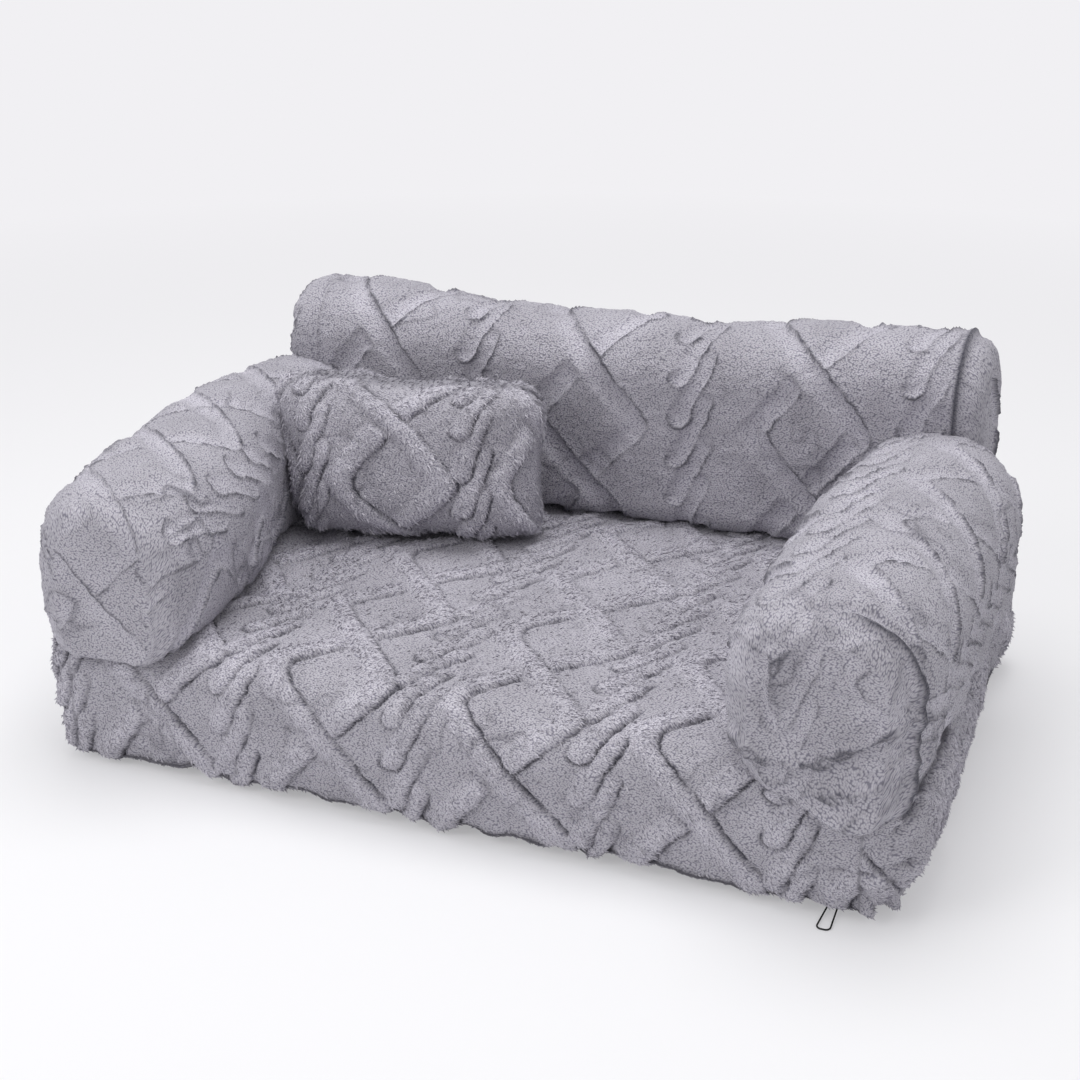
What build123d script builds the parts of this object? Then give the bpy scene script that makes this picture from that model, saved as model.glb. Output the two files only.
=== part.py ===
from build123d import *
import math
import os

# Plush sofa bed for a dog: a foam seat cushion carries two bolster arms and a backrest,
# and a loose scatter cushion stands in the corner on the viewer's left.
# Lengths are in millimetres. X runs to the viewer's right, Y to the back, Z up.
# The origin is on the floor, under the middle of the seat cushion.

# Cloth and seams
plush_wall = 6.0
clearance = 0.3
filling_gap = 0.6
overrun = 20.0

# Seat cushion
base_width = 884.0
base_depth = 596.0
base_top = 142.0
hem_height = 8.0
base_taper = 10.0
base_draw_in = 18.0
base_corner_radius = 56.0
side_seam_inset = 46.0
side_seam_height = 126.0
rear_seam_inset = 34.0
# Each pair: share of the height between hem and top, share of the draw-in at the seams.
base_profile_shares = ((0.0, 1.0), (0.22, 0.2), (0.52, 0.0), (0.8, 0.35), (0.94, 1.2), (1.0, 2.4))

# Crowned middle of the seat, between the arms
crown_height = 8.5
crown_tuck = 20.0
crown_front_inset = 62.0
crown_rear_gap = 14.0
crown_corner_radius = 60.0
# Each row: share of the crown's height, share of its width, shares of its length at front and rear.
crown_shares = ((0.0, 1.0, 0.0, 0.0), (0.62, 0.76, 0.11, 0.18), (0.92, 0.5, 0.22, 0.34), (1.0, 0.3, 0.3, 0.44))

# Underside
panel_thickness = 2.0
hem_width = 10.0
hem_lap = 4.0
footprint_side_inset = 108.0
footprint_end_inset = 74.0
footprint_slope = 18.0

# Arms
arm_width = 194.0
arm_height = 156.0
arm_overhang = 15.0
arm_reach = 2.0
cushion_dent = 48.0
arm_sink = 18.0
arm_front_slope = 0.485
arm_drop_setback = 37.0
arm_top_round_share = 0.42
arm_inner_round_share = 0.34
arm_outer_round_share = 0.2
# Each row: share of the length, share of the width, share of the height by which the top is
# lower, and the share of the dent that the scatter cushion presses into the left arm. The last
# front row is the front panel's seam.
arm_front_shares = (
    (0.0, 0.6, 0.19, 0.0),
    (0.018, 0.79, 0.11, 0.0),
    (0.036, 0.87, 0.07, 0.0),
)
arm_shares = (
    (0.17, 0.965, 0.015, 0.0),
    (0.31, 0.99, 0.0, 0.08),
    (0.45, 1.0, 0.0, 0.35),
    (0.59, 1.0, 0.0, 0.72),
    (0.73, 0.99, 0.01, 0.97),
    (0.87, 0.965, 0.035, 1.0),
    (1.0, 0.88, 0.08, 0.9),
)

# Backrest
back_end_inset = 36.0
back_thickness = 118.0
back_overhang = 2.0
back_height = 236.0
back_sag = 16.0
back_end_round = 34.0
back_top_round_share = 0.45
back_foot_round_share = 0.2
# Each row: share of half the width, share of the thickness, share of the end rounding by which
# the top lies lower, and the share of the sag. The last end row is the gusset's seam.
back_end_shares = (
    (1.0, 0.6, 0.95, 0.0),
    (0.972, 0.87, 0.32, 0.0),
    (0.896, 0.98, 0.0, 0.0),
)
back_shares = (
    (0.8, 1.0, 0.0, 0.05),
    (0.6, 1.0, 0.0, 0.45),
    (0.3, 1.0, 0.0, 0.9),
    (0.0, 1.0, 0.0, 1.0),
)

# Scatter cushion
pillow_width = 290.0
pillow_height = 178.0
pillow_thickness = 112.0
pillow_draw_in = 11.0
pillow_corner_radius = 24.0
pillow_setback = 156.0
pillow_arm_gap = 0.5
pillow_lift = 1.8
pillow_turn = 14.0
pillow_lean = 9.0
# Each pair: share of half the thickness, share of the outline's size.
pillow_shares = ((0.0, 1.0), (0.3, 0.965), (0.62, 0.86), (0.86, 0.67), (1.0, 0.38))

# Knitted relief of the cloth: columns of diamonds made by crossing bands, with cables between
relief_depth = 4.0
lattice_row = 137.0
diamond_width = 112.0
band_width = 27.0
cable_width = 46.0
seat_column = 184.0
seat_column_x = 58.0
seat_row_y = -273.5
seat_edge_radius = 38.0
back_column = 249.0
back_column_x = -41.0
back_sides = (-1,)
least_shape_share = 0.45
# First and last column and row, counted from the one that is placed above.
seat_columns = (-2, 1)
seat_rows = (-3, 1)
back_columns = (-1, 1)
back_rows = (0, 2)

# Zip under the right-hand side
zip_inset = 72.0
zip_setback = 9.0
zip_length = 372.0
tape_width = 12.0
tape_thickness = 1.0
chain_width = 6.0
slit_width = 12.0
tooth_pitch = 4.2
tooth_neck = 1.1
tooth_head = 2.3
tooth_head_length = 0.8
tooth_overlap = 0.95
tooth_thickness = 3.0
bead_width = 1.0
stop_length = 2.4
stop_wall = 0.8
stop_reach = 1.5
slider_width = 10.6
slider_tail_width = 9.0
slider_length = 14.0
slider_plate = 1.4
slider_flange = 1.0
slider_bore = 3.8
slider_corner = 1.6
tape_slot = 1.8
divider_width = 2.0
divider_length = 4.0
arch_width = 2.0
arch_bar = 1.2
arch_gap = 2.6
arch_length = 8.0
slider_waist_share = 0.35
arch_place_share = 0.5
arch_round_share = 0.6

# Wire pull on the zip
pull_wire = 1.6
pull_eye_width = 6.4
pull_tip_width = 12.5
pull_length = 57.0
pull_eye_radius = 1.4
pull_tip_radius = 4.5


# Places that follow from the sizes
arm_middle = base_width / 2 + arm_overhang - arm_width / 2
arm_inner = arm_middle - arm_width / 2
arm_top = base_top + arm_height
arm_front = -base_depth / 2 - arm_reach
back_width = base_width - 2 * back_end_inset
back_front = base_depth / 2 + back_overhang - back_thickness
back_top = base_top + back_height
zip_x = base_width / 2 - zip_inset


def between(low, high, share):
    """Value at a share of the way from low to high."""
    return low + (high - low) * share


def block(x0, x1, y0, y1, z0, z1):
    """Box between two corners."""
    size = Box(x1 - x0, y1 - y0, z1 - z0)
    return Pos((x0 + x1) / 2, (y0 + y1) / 2, (z0 + z1) / 2) * size


def rounded_outline(points, radii):
    """Face inside straight sides joined by tangent arcs."""
    return make_face(FilletPolyline(*points, radius=radii, close=True))


# Seat cushion outline
def base_outline(side_inset, end_inset, height, grow=0.0):
    """Level plan of the seat cushion, a little narrower at the rear."""
    front = base_width / 2 - side_inset + grow
    rear = front - base_taper
    depth = base_depth / 2 - end_inset + grow
    corners = [(-front, -depth), (front, -depth), (rear, depth), (-rear, depth)]
    radius = base_corner_radius + grow
    return Pos(0, 0, height) * rounded_outline(corners, [radius] * len(corners))


def base_body(grow):
    """Seat cushion with drawn-in seams and a flat top, grown outwards by a distance."""
    low = hem_height - grow
    high = base_top + grow
    sections = []
    for level, draw in base_profile_shares:
        inset = draw * base_draw_in
        sections.append(base_outline(inset, inset, between(low, high, level), grow))
    return loft(sections)


def seat_crown():
    """Padding that crowns the seat between the arms."""
    crown_front = crown_front_inset - base_depth / 2
    crown_rear = back_front - crown_rear_gap
    length = crown_rear - crown_front
    sections = []
    for level, wide, front_share, rear_share in crown_shares:
        half = wide * (arm_inner + crown_tuck)
        front = crown_front + front_share * length
        rear = crown_rear - rear_share * length
        corners = [(-half, front), (half, front), (half, rear), (-half, rear)]
        outline = rounded_outline(corners, [wide * crown_corner_radius] * len(corners))
        sections.append(Pos(0, 0, base_top + level * crown_height) * outline)
    return loft(sections)


# Arm outline
def arm_section(side, row, grow):
    """Upright section across an arm, before it is pressed on the seat."""
    along, width_share, top_share, dent_share = row
    foot = base_top - arm_sink
    height = arm_top - foot
    half = width_share * arm_width / 2
    dent = cushion_dent * dent_share if side < 0 else 0
    inner = side * (arm_middle - half + dent - grow)
    outer = side * (arm_middle + half + grow)
    top = arm_top - top_share * height + grow
    place = between(arm_front, back_front - clearance, along)
    if along == 0:
        place -= grow
    if along == 1:
        place += grow
    across = abs(outer - inner)
    corners = [(inner, foot - grow), (outer, foot - grow), (outer, top), (inner, top)]
    shares = (arm_inner_round_share, arm_outer_round_share, arm_top_round_share, arm_top_round_share)
    radii = [share * across for share in shares]
    plane = Plane(origin=(0, place, 0), x_dir=(1, 0, 0), z_dir=(0, -1, 0))
    return plane * rounded_outline(corners, radii)


def arm_bed(grow):
    """Space under an arm: flat on the seat, then sloping down over the seat's front edge."""
    level = base_top + clearance - grow
    reach = arm_front - overrun
    crest = arm_drop_setback - base_depth / 2
    drop = level + arm_front_slope * (reach - crest)
    rear = back_front + overrun
    points = [(rear, 0), (rear, level), (crest, level), (reach, drop), (reach, 0)]
    outline = make_face(Polyline(*points, close=True))
    side = arm_middle + arm_width
    plane = Plane(origin=(-side, 0, 0), x_dir=(0, 1, 0), z_dir=(1, 0, 0))
    return extrude(plane * outline, 2 * side)


def arm_body(side, rows, grow):
    """Length of bolster between the first and the last of some rows."""
    return loft([arm_section(side, row, grow) for row in rows]) - arm_bed(grow)


# Backrest outline
def back_section(side, row, grow):
    """Upright section across the backrest, with a rounded top edge."""
    along, thick_share, top_share, sag_share = row
    half = thick_share * back_thickness / 2 + grow
    middle = back_front + back_thickness / 2
    top = back_top - top_share * back_end_round - sag_share * back_sag + grow
    foot = base_top + clearance - grow
    place = side * along * back_width / 2
    if along == 1:
        place += side * grow
    across = 2 * half
    corners = [(middle - half, foot), (middle + half, foot), (middle + half, top), (middle - half, top)]
    shares = (back_foot_round_share, back_foot_round_share, back_top_round_share, back_top_round_share)
    radii = [share * across for share in shares]
    plane = Plane(origin=(place, 0, 0), x_dir=(0, 1, 0), z_dir=(1, 0, 0))
    return plane * rounded_outline(corners, radii)


def back_end(side, grow):
    """End of the backrest outside its gusset seam."""
    return loft([back_section(side, row, grow) for row in back_end_shares])


def back_middle(grow):
    """Backrest between its gusset seams."""
    rows = [back_end_shares[-1]] + list(back_shares)
    left = [back_section(-1, row, grow) for row in rows]
    right = [back_section(1, row, grow) for row in reversed(rows[:-1])]
    return loft(left + right)


# Scatter cushion outline
def pillow_plane():
    """Plane of the scatter cushion's seam, with its origin in the middle of the cushion."""
    turn = math.radians(pillow_turn)
    lean = math.radians(pillow_lean)
    along = Vector(math.cos(turn), math.sin(turn), 0)
    upward = Vector(-math.sin(turn) * math.sin(lean), math.cos(turn) * math.sin(lean), math.cos(lean))
    left = pillow_arm_gap - arm_inner - cushion_dent
    corner = Vector(left, back_front - pillow_setback, base_top + pillow_lift)
    middle = corner + along * (pillow_width / 2) + upward * (pillow_height / 2)
    return Plane(origin=middle, x_dir=along, z_dir=along.cross(upward))


def pillow_outline(share, grow):
    """Cushion outline with full corners and sides that pull in between them."""
    w = share * pillow_width / 2 + grow
    h = share * pillow_height / 2 + grow
    draw = share * pillow_draw_in
    sides = [
        ThreePointArc((-w, -h), (0, -h + draw), (w, -h)),
        ThreePointArc((w, -h), (w - draw, 0), (w, h)),
        ThreePointArc((w, h), (0, h - draw), (-w, h)),
        ThreePointArc((-w, h), (-w + draw, 0), (-w, -h)),
    ]
    face = make_face(sides)
    return fillet(face.vertices(), share * pillow_corner_radius)


def pillow_half(side, grow):
    """Half of the crowned cushion, on one side of its seam."""
    sections = []
    for level, share in pillow_shares:
        offset = side * level * (pillow_thickness / 2 + grow)
        sections.append(Pos(0, 0, offset) * pillow_outline(share, grow))
    return pillow_plane() * loft(sections)


# Knitted relief
class Wrap:
    """Cloth that runs straight, then round an edge.

    Runs are lengths of cloth from a start; across is X.
    """

    def __init__(self, start, ahead, outward, straight, radius):
        self.start = Vector(*start)
        self.ahead = Vector(*ahead)
        self.outward = Vector(*outward)
        self.straight = straight
        self.radius = radius

    def turn(self, run):
        """Angle by which the cloth has turned."""
        return min(max((run - self.straight) / self.radius, 0), math.pi / 2)

    def place(self, across, run):
        """Point of the cloth."""
        angle = self.turn(run)
        after = max(run - self.straight - self.radius * math.pi / 2, 0)
        along = min(run, self.straight) + self.radius * math.sin(angle)
        down = self.radius * (1 - math.cos(angle)) + after
        return self.start + self.ahead * along - self.outward * down + Vector(across, 0, 0)

    def facing(self, low, middle, high):
        """Plane that faces the cloth between two runs, through the middle of the edge's round."""
        angle = (self.turn(low) + 2 * self.turn(middle) + self.turn(high)) / 4
        normal = self.outward * math.cos(angle) + self.ahead * math.sin(angle)
        origin = self.start + self.ahead * self.straight - self.outward * self.radius
        return Plane(origin=origin, x_dir=(1, 0, 0), z_dir=normal)


def diamond_corners():
    """Sunk inside of a diamond, about its centre."""
    width = diamond_width / 2
    length = lattice_row / 2
    inner = 1 - band_width / 2 * math.hypot(width, length) / (width * length)
    return [(inner * width, 0), (0, inner * length), (-inner * width, 0), (0, -inner * length)]


def ground_corners(column, side):
    """Sunk ground between a crossing of the bands and a cable beside it, about the crossing."""
    width = diamond_width / 2
    length = lattice_row / 2
    tip = band_width / 2 * math.hypot(width, length) / length
    reach = column / 2 - cable_width / 2
    meet = min(reach, width + tip)
    rise = (meet - tip) * length / width
    corners = [(tip, 0), (meet, -rise)]
    if reach > meet:
        corners += [(reach, -rise), (reach, rise)]
    corners.append((meet, rise))
    return [(side * across, along) for across, along in corners]


def diamond_shapes(column, column_x, columns, row_run, rows):
    """Middle and corners of every sunk diamond, across and along the cloth."""
    shapes = []
    for number in range(columns[0], columns[1] + 1):
        for row in range(rows[0], rows[1] + 1):
            shapes.append((column_x + number * column, row_run + row * lattice_row, diamond_corners()))
    return shapes


def ground_shapes(column, column_x, columns, row_run, rows):
    """Middle and corners of every sunk ground beside the crossings of the bands."""
    shapes = []
    for across, run, _ in diamond_shapes(column, column_x, columns, row_run + lattice_row / 2, rows):
        for side in (-1, 1):
            shapes.append((across, run, ground_corners(column, side)))
    return shapes


def relief_prisms(wrap, shapes, first, last):
    """Prisms that stand on the sunk shapes between two runs of cloth."""
    prisms = []
    for across, run, corners in shapes:
        runs = [min(max(run + along, first), last) for _, along in corners]
        reach = max(along for _, along in corners) - min(along for _, along in corners)
        if max(runs) - min(runs) < least_shape_share * reach:
            continue
        middle = min(max(run, first), last)
        plane = wrap.facing(min(runs), middle, max(runs))
        points = [plane.to_local_coords(wrap.place(across + c[0], r)) for c, r in zip(corners, runs)]
        low = min(point.Z for point in points) - 2 * relief_depth
        high = max(point.Z for point in points) + overrun
        outline = make_face(Polyline(*[(point.X, point.Y) for point in points], close=True))
        prisms.append(extrude(plane.offset(low) * outline, high - low))
    return prisms


def seat_relief():
    """Diamonds sunk into the top and the front of the seat cover, where no arm hides them."""
    straight = base_depth / 2 - seat_edge_radius
    wrap = Wrap((0, 0, base_top), (0, -1, 0), (0, 0, 1), straight, seat_edge_radius)
    shapes = diamond_shapes(seat_column, seat_column_x, seat_columns, -seat_row_y, seat_rows)
    shapes = [shape for shape in shapes if shape[1] > straight or abs(shape[0]) < arm_inner]
    drop = base_top - seat_edge_radius - hem_height - 2 * relief_depth
    last = straight + seat_edge_radius * math.pi / 2 + drop
    prisms = Part() + relief_prisms(wrap, shapes, -back_front, last)
    return prisms - base_body(-relief_depth) - Pos(0, 0, -relief_depth) * seat_crown()


def back_top_at(across):
    """Height of the backrest's sagging top, and its slope."""
    along = abs(across) * 2 / back_width
    rows = sorted(back_shares + back_end_shares[-1:])
    for near, far in zip(rows, rows[1:]):
        if along <= far[0]:
            break
    slope = (near[3] - far[3]) * back_sag / ((far[0] - near[0]) * back_width / 2)
    height = back_top - near[3] * back_sag + slope * (along - near[0]) * back_width / 2
    return height, math.copysign(slope, across)


def back_inside(across):
    """Stretch of the backrest that lies deeper than the relief, along one column of diamonds."""
    height, slope = back_top_at(across)
    front = back_front + relief_depth
    rear = back_front + back_thickness - relief_depth
    foot = base_top + relief_depth
    top = height - relief_depth
    round_radius = back_top_round_share * back_thickness - relief_depth
    corners = [(front, foot), (rear, foot), (rear, top), (front, top)]
    radii = [relief_depth, relief_depth, round_radius, round_radius]
    plane = Plane(origin=(across, 0, 0), x_dir=(0, 1, 0), z_dir=(1, 0, 0))
    section = plane * rounded_outline(corners, radii)
    ahead = extrude(section, back_column / 2, dir=(1, 0, slope))
    return ahead + extrude(section, back_column / 2, dir=(-1, 0, -slope))


def back_relief():
    """What is sunk into the front and the top of the backrest's cover."""
    radius = back_top_round_share * back_thickness
    prisms = Part()
    for number in range(back_columns[0], back_columns[1] + 1):
        across = back_column_x + number * back_column
        height = back_top_at(across)[0] - base_top
        last = height - radius + radius * math.pi / 2 + back_thickness / 2 - radius
        for side in back_sides:
            face_y = back_front + (side + 1) / 2 * back_thickness
            wrap = Wrap((0, face_y, base_top), (0, 0, 1), (0, side, 0), height - radius, radius)
            place = (back_column, across, (0, 0), last - 2 * lattice_row, back_rows)
            shapes = diamond_shapes(*place) + ground_shapes(*place)
            prisms += Part() + relief_prisms(wrap, shapes, 2 * relief_depth, last) - back_inside(across)
    return prisms


# Pieces of the arms, the backrest and the scatter cushion
def build_arm(side, name, parts):
    """Bolster arm: wrap cover, front end panel and fibre filling."""
    inset = -plush_wall - filling_gap
    front_rows = arm_front_shares
    cover_rows = arm_front_shares[-1:] + arm_shares
    front = arm_body(side, front_rows, 0) - arm_body(side, front_rows, -plush_wall)
    cover = arm_body(side, cover_rows, 0) - arm_body(side, cover_rows, -plush_wall)
    filling = arm_body(side, front_rows, inset) + arm_body(side, cover_rows, inset)
    parts[name + "_arm_front_panel"] = front
    parts[name + "_arm_cover"] = cover
    parts[name + "_arm_filling"] = filling


def build_backrest(parts):
    """Backrest: wrap cover, an end panel each side and fibre filling."""
    inset = -plush_wall - filling_gap
    parts["backrest_left_end_panel"] = back_end(-1, 0) - back_end(-1, -plush_wall)
    parts["backrest_right_end_panel"] = back_end(1, 0) - back_end(1, -plush_wall)
    parts["backrest_cover"] = back_middle(0) - back_middle(-plush_wall) - back_relief()
    parts["backrest_filling"] = back_middle(inset) + back_end(-1, inset) + back_end(1, inset)


def build_pillow(parts):
    """Scatter cushion: two faces sewn together round the edge, and fibre filling."""
    inset = -plush_wall - filling_gap
    parts["scatter_cushion_front"] = pillow_half(1, 0) - pillow_half(1, -plush_wall)
    parts["scatter_cushion_back"] = pillow_half(-1, 0) - pillow_half(-1, -plush_wall)
    parts["scatter_cushion_filling"] = pillow_half(1, inset) + pillow_half(-1, inset)


# Seat cushion pieces
def build_seat(parts):
    """Seat cover cut into the panels that the real cover is sewn from, and its foam core."""
    cover = base_body(0) - base_body(-plush_wall)
    cover -= extrude(mouth_outline(0, hem_height - overrun), 2 * overrun)
    cover += seat_crown()
    half = base_width / 2
    reach = half + overrun
    front = base_depth / 2 + overrun
    seam_x = half - side_seam_inset
    rear_y = base_depth / 2 - rear_seam_inset
    left = block(-reach, -seam_x, -front, front, 0, side_seam_height)
    right = block(seam_x, reach, -front, front, 0, side_seam_height)
    rear = block(-seam_x, seam_x, rear_y, front, 0, side_seam_height)
    hem_front = base_depth / 2 - panel_inset() - hem_lap - base_corner_radius
    rear += block(-seam_x, seam_x, hem_front, rear_y, 0, hem_height + 2 * plush_wall)
    parts["left_side_panel"] = cover & left
    parts["right_side_panel"] = cover & right
    parts["rear_panel"] = cover & rear
    parts["seat_and_front_panel"] = cover - left - right - rear - seat_relief()
    parts["seat_foam"] = seat_foam()


def seat_foam():
    """Foam core that fills the seat cover and swells down into the underside panel."""
    inset = plush_wall + clearance
    low = hem_height + clearance
    core = base_body(-inset)
    core += extrude(mouth_outline(clearance, low), inset)
    gap = panel_thickness + clearance
    core += footprint(gap, gap, low + inset)
    tape_side = chain_width / 2 + tape_width + clearance
    rear = zip_rear() + clearance
    front = -base_depth / 2
    tape_top = hem_height + tape_thickness + clearance
    core -= block(zip_x - tape_side, zip_x + tape_side, front, rear, 0, tape_top)
    side = slider_width / 2 + clearance
    core -= block(zip_x - side, zip_x + side, front, rear, 0, slider_top() + clearance)
    return core


def mouth_outline(inset, height):
    """Opening in the cover's underside, inside its turned-in hem, drawn in by a distance."""
    total = panel_inset() + hem_lap + inset
    return base_outline(total, total, height)


# Underside
def panel_inset():
    """Distance of the underside panel's edge from the seat cushion's widest outline."""
    return base_draw_in + hem_width


def footprint(lift, inset, top):
    """Shallow swelling on which the sofa stands, from a lifted and drawn-in foot to a height."""
    slope = footprint_slope / (hem_height - panel_thickness)
    side = footprint_side_inset + inset
    end = footprint_end_inset + inset
    spread = slope * (top - lift)
    low = base_outline(side, end, lift)
    high = base_outline(side - spread, end - spread, top)
    return loft([low, high], ruled=True)


def build_underside(parts):
    """Non-slip underside panel, and the narrow strip beyond the zip."""
    inset = panel_inset()
    flange = hem_height - panel_thickness
    plate = extrude(base_outline(inset, inset, flange), panel_thickness)
    half_slit = slit_width / 2
    reach = base_width
    plate -= block(zip_x - half_slit, zip_x + half_slit, -reach, zip_rear(), 0, base_top)
    strip_cut = block(zip_x, reach, -reach, reach, 0, base_top)
    dish = footprint(0, 0, hem_height)
    hollow = footprint(panel_thickness, panel_thickness, hem_height + overrun)
    parts["underside_strip"] = plate & strip_cut
    parts["underside_panel"] = (plate - strip_cut) + dish - hollow


# Zip
def zip_front():
    """Front end of the zip, just behind the underside panel's front edge."""
    return panel_inset() - base_depth / 2 + zip_setback


def zip_rear():
    """Rear end of the zip."""
    return zip_front() + zip_length


def tape_middle():
    """Height of the middle of the zip tapes."""
    return hem_height + tape_thickness / 2


def slider_top():
    """Height of the slider's upper face, inside the foam's channel."""
    return tape_middle() + slider_bore / 2 + slider_plate


def slider_front():
    """Front end of the slider when the zip is closed."""
    return zip_front() + stop_length + clearance


def tooth_rows():
    """Number of teeth on each side."""
    free = zip_length - slider_length - 2 * stop_length - 2 * clearance
    return int(free / tooth_pitch) - 1


def tooth_comb(side, shift):
    """One row of teeth on its bead: necks with wider heads that lock behind their neighbours."""
    root = side * chain_width / 2
    lip = root - side * bead_width
    tip = -side * tooth_overlap
    throat = tip + side * tooth_head_length
    start = slider_front() + slider_length + clearance
    points = [(root, start), (lip, start)]
    for row in range(tooth_rows()):
        middle = start + shift + row * tooth_pitch
        points.append((lip, middle - tooth_neck / 2))
        points.append((throat, middle - tooth_neck / 2))
        points.append((throat, middle - tooth_head / 2))
        points.append((tip, middle - tooth_head / 2))
        points.append((tip, middle + tooth_head / 2))
        points.append((throat, middle + tooth_head / 2))
        points.append((throat, middle + tooth_neck / 2))
        points.append((lip, middle + tooth_neck / 2))
    end = start + (tooth_rows() + 1) * tooth_pitch
    points.append((lip, end))
    points.append((root, end))
    outline = make_face(Polyline(*points, close=True))
    low = tape_middle() - tooth_thickness / 2
    return extrude(Pos(zip_x, 0, low) * outline, tooth_thickness)


def zip_stop(x0, x1, y0):
    """Clamp across one or both tapes that ends the chain."""
    half = tape_thickness / 2 + stop_wall
    middle = tape_middle()
    return block(zip_x + x0, zip_x + x1, y0, y0 + stop_length, middle - half, middle + half)


def slider_outline(height):
    """Plan of a slider plate: wide at the nose and narrower at the tail."""
    nose = slider_width / 2
    tail = slider_tail_width / 2
    front = slider_front()
    rear = front + slider_length
    waist = between(front, rear, slider_waist_share)
    points = [(-nose, front), (nose, front), (nose, waist), (tail, rear), (-tail, rear), (-nose, waist)]
    radii = [slider_corner] * len(points)
    return Pos(zip_x, 0, height) * rounded_outline(points, radii)


def zip_slider():
    """Slider body: two plates with flanges round the chain, a divider and an arch for the pull."""
    front = slider_front()
    rear = front + slider_length
    middle = tape_middle()
    bore = slider_bore / 2
    bottom = middle - bore - slider_plate
    body = extrude(slider_outline(bottom), slider_bore + 2 * slider_plate)
    inner = chain_width / 2 + clearance
    body -= block(zip_x - inner, zip_x + inner, front, rear, middle - bore, middle + bore)
    slot = tape_slot / 2
    body -= block(zip_x - slider_width, zip_x + slider_width, front, rear, middle - slot, middle + slot)
    divider = Box(divider_width, divider_length, slider_bore)
    body += Pos(zip_x, front + divider_length / 2 + slider_flange, middle) * divider
    arch_middle = between(front, rear, arch_place_share)
    reach = arch_length / 2
    low = bottom - arch_gap - arch_bar
    half = arch_width / 2
    arch = block(zip_x - half, zip_x + half, arch_middle - reach, arch_middle + reach, low, bottom)
    inside = reach - arch_bar
    arch -= block(
        zip_x - half, zip_x + half, arch_middle - inside, arch_middle + inside, low + arch_bar, bottom
    )
    arch_edges = arch.edges().filter_by(Axis.X).group_by(Axis.Z)[0]
    return body + fillet(arch_edges, arch_bar * arch_round_share)


def pull_pivot():
    """Place of the pull's cross wire in the slider's arch, as Y and Z."""
    front = slider_front()
    arch_middle = between(front, front + slider_length, arch_place_share)
    y = arch_middle - arch_length / 2 + arch_bar + pull_wire / 2 + clearance
    z = tape_middle() - slider_bore / 2 - slider_plate - arch_gap / 2
    return y, z


def zip_pull():
    """Closed wire loop, narrow through the slider's arch and wide at its tip, resting forwards."""
    y, z = pull_pivot()
    tip_z = pull_wire / 2 + clearance
    eye = pull_eye_width / 2
    tip = pull_tip_width / 2
    slope = math.asin((z - tip_z) / pull_length)
    plane = Plane(origin=(zip_x, y, z), x_dir=(1, 0, 0), z_dir=(0, -math.sin(slope), math.cos(slope)))
    points = [(-eye, 0), (eye, 0), (tip, -pull_length), (-tip, -pull_length)]
    radii = [pull_eye_radius, pull_eye_radius, pull_tip_radius, pull_tip_radius]
    path = plane * FilletPolyline(*points, radius=radii, close=True)
    start = path @ 0
    section = Plane(origin=start, z_dir=path % 0) * Circle(pull_wire / 2)
    return sweep(section, path=path)


def build_zip(parts):
    """Zip with two tapes, two combs of locking teeth, three stops, a slider and its wire pull."""
    low = hem_height
    high = hem_height + tape_thickness
    half = chain_width / 2
    far = half + tape_width
    parts["zip_inner_tape"] = block(zip_x - far, zip_x - half, zip_front(), zip_rear(), low, high)
    parts["zip_outer_tape"] = block(zip_x + half, zip_x + far, zip_front(), zip_rear(), low, high)
    parts["zip_inner_teeth"] = tooth_comb(-1, tooth_pitch / 2)
    parts["zip_outer_teeth"] = tooth_comb(1, tooth_pitch)
    reach = half + stop_reach
    lip = half - bead_width
    foot = zip_rear() - stop_length
    parts["zip_inner_top_stop"] = zip_stop(-reach, -lip, zip_front())
    parts["zip_outer_top_stop"] = zip_stop(lip, reach, zip_front())
    parts["zip_bottom_stop"] = zip_stop(-reach, reach, foot)
    mouth = extrude(mouth_outline(clearance, hem_height), tape_thickness)
    for name in ("zip_inner_tape", "zip_outer_tape"):
        parts[name] = parts[name] & mouth
        for stop in ("zip_inner_top_stop", "zip_outer_top_stop", "zip_bottom_stop"):
            parts[name] = parts[name] - parts[stop]
    parts["zip_slider"] = zip_slider()
    parts["zip_pull"] = zip_pull()


def main():
    """Build every piece and write it as a STEP file."""
    parts = {}
    build_seat(parts)
    build_underside(parts)
    build_arm(-1, "left", parts)
    build_arm(1, "right", parts)
    build_backrest(parts)
    build_pillow(parts)
    build_zip(parts)
    os.makedirs("parts", exist_ok=True)
    for name, piece in parts.items():
        export_step(piece, "parts/" + name + ".step")


if __name__ == "__main__":
    main()
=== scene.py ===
import logging
import math
from dataclasses import dataclass, field
from enum import Enum
from typing import ClassVar

import bpy
import numpy as np
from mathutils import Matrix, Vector


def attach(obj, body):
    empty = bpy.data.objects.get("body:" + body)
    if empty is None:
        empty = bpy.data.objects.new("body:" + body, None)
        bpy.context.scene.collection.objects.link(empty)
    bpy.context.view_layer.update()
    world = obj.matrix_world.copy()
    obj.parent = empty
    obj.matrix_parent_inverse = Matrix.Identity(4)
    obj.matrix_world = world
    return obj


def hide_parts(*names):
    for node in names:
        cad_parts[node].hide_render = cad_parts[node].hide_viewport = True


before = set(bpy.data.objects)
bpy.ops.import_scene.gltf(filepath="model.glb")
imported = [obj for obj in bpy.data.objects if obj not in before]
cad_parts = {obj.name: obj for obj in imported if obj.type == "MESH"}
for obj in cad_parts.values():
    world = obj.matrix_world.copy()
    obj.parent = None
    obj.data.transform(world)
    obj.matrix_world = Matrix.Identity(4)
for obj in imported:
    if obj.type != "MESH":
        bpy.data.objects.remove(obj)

log = logging.getLogger("dog_sofa")

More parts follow.
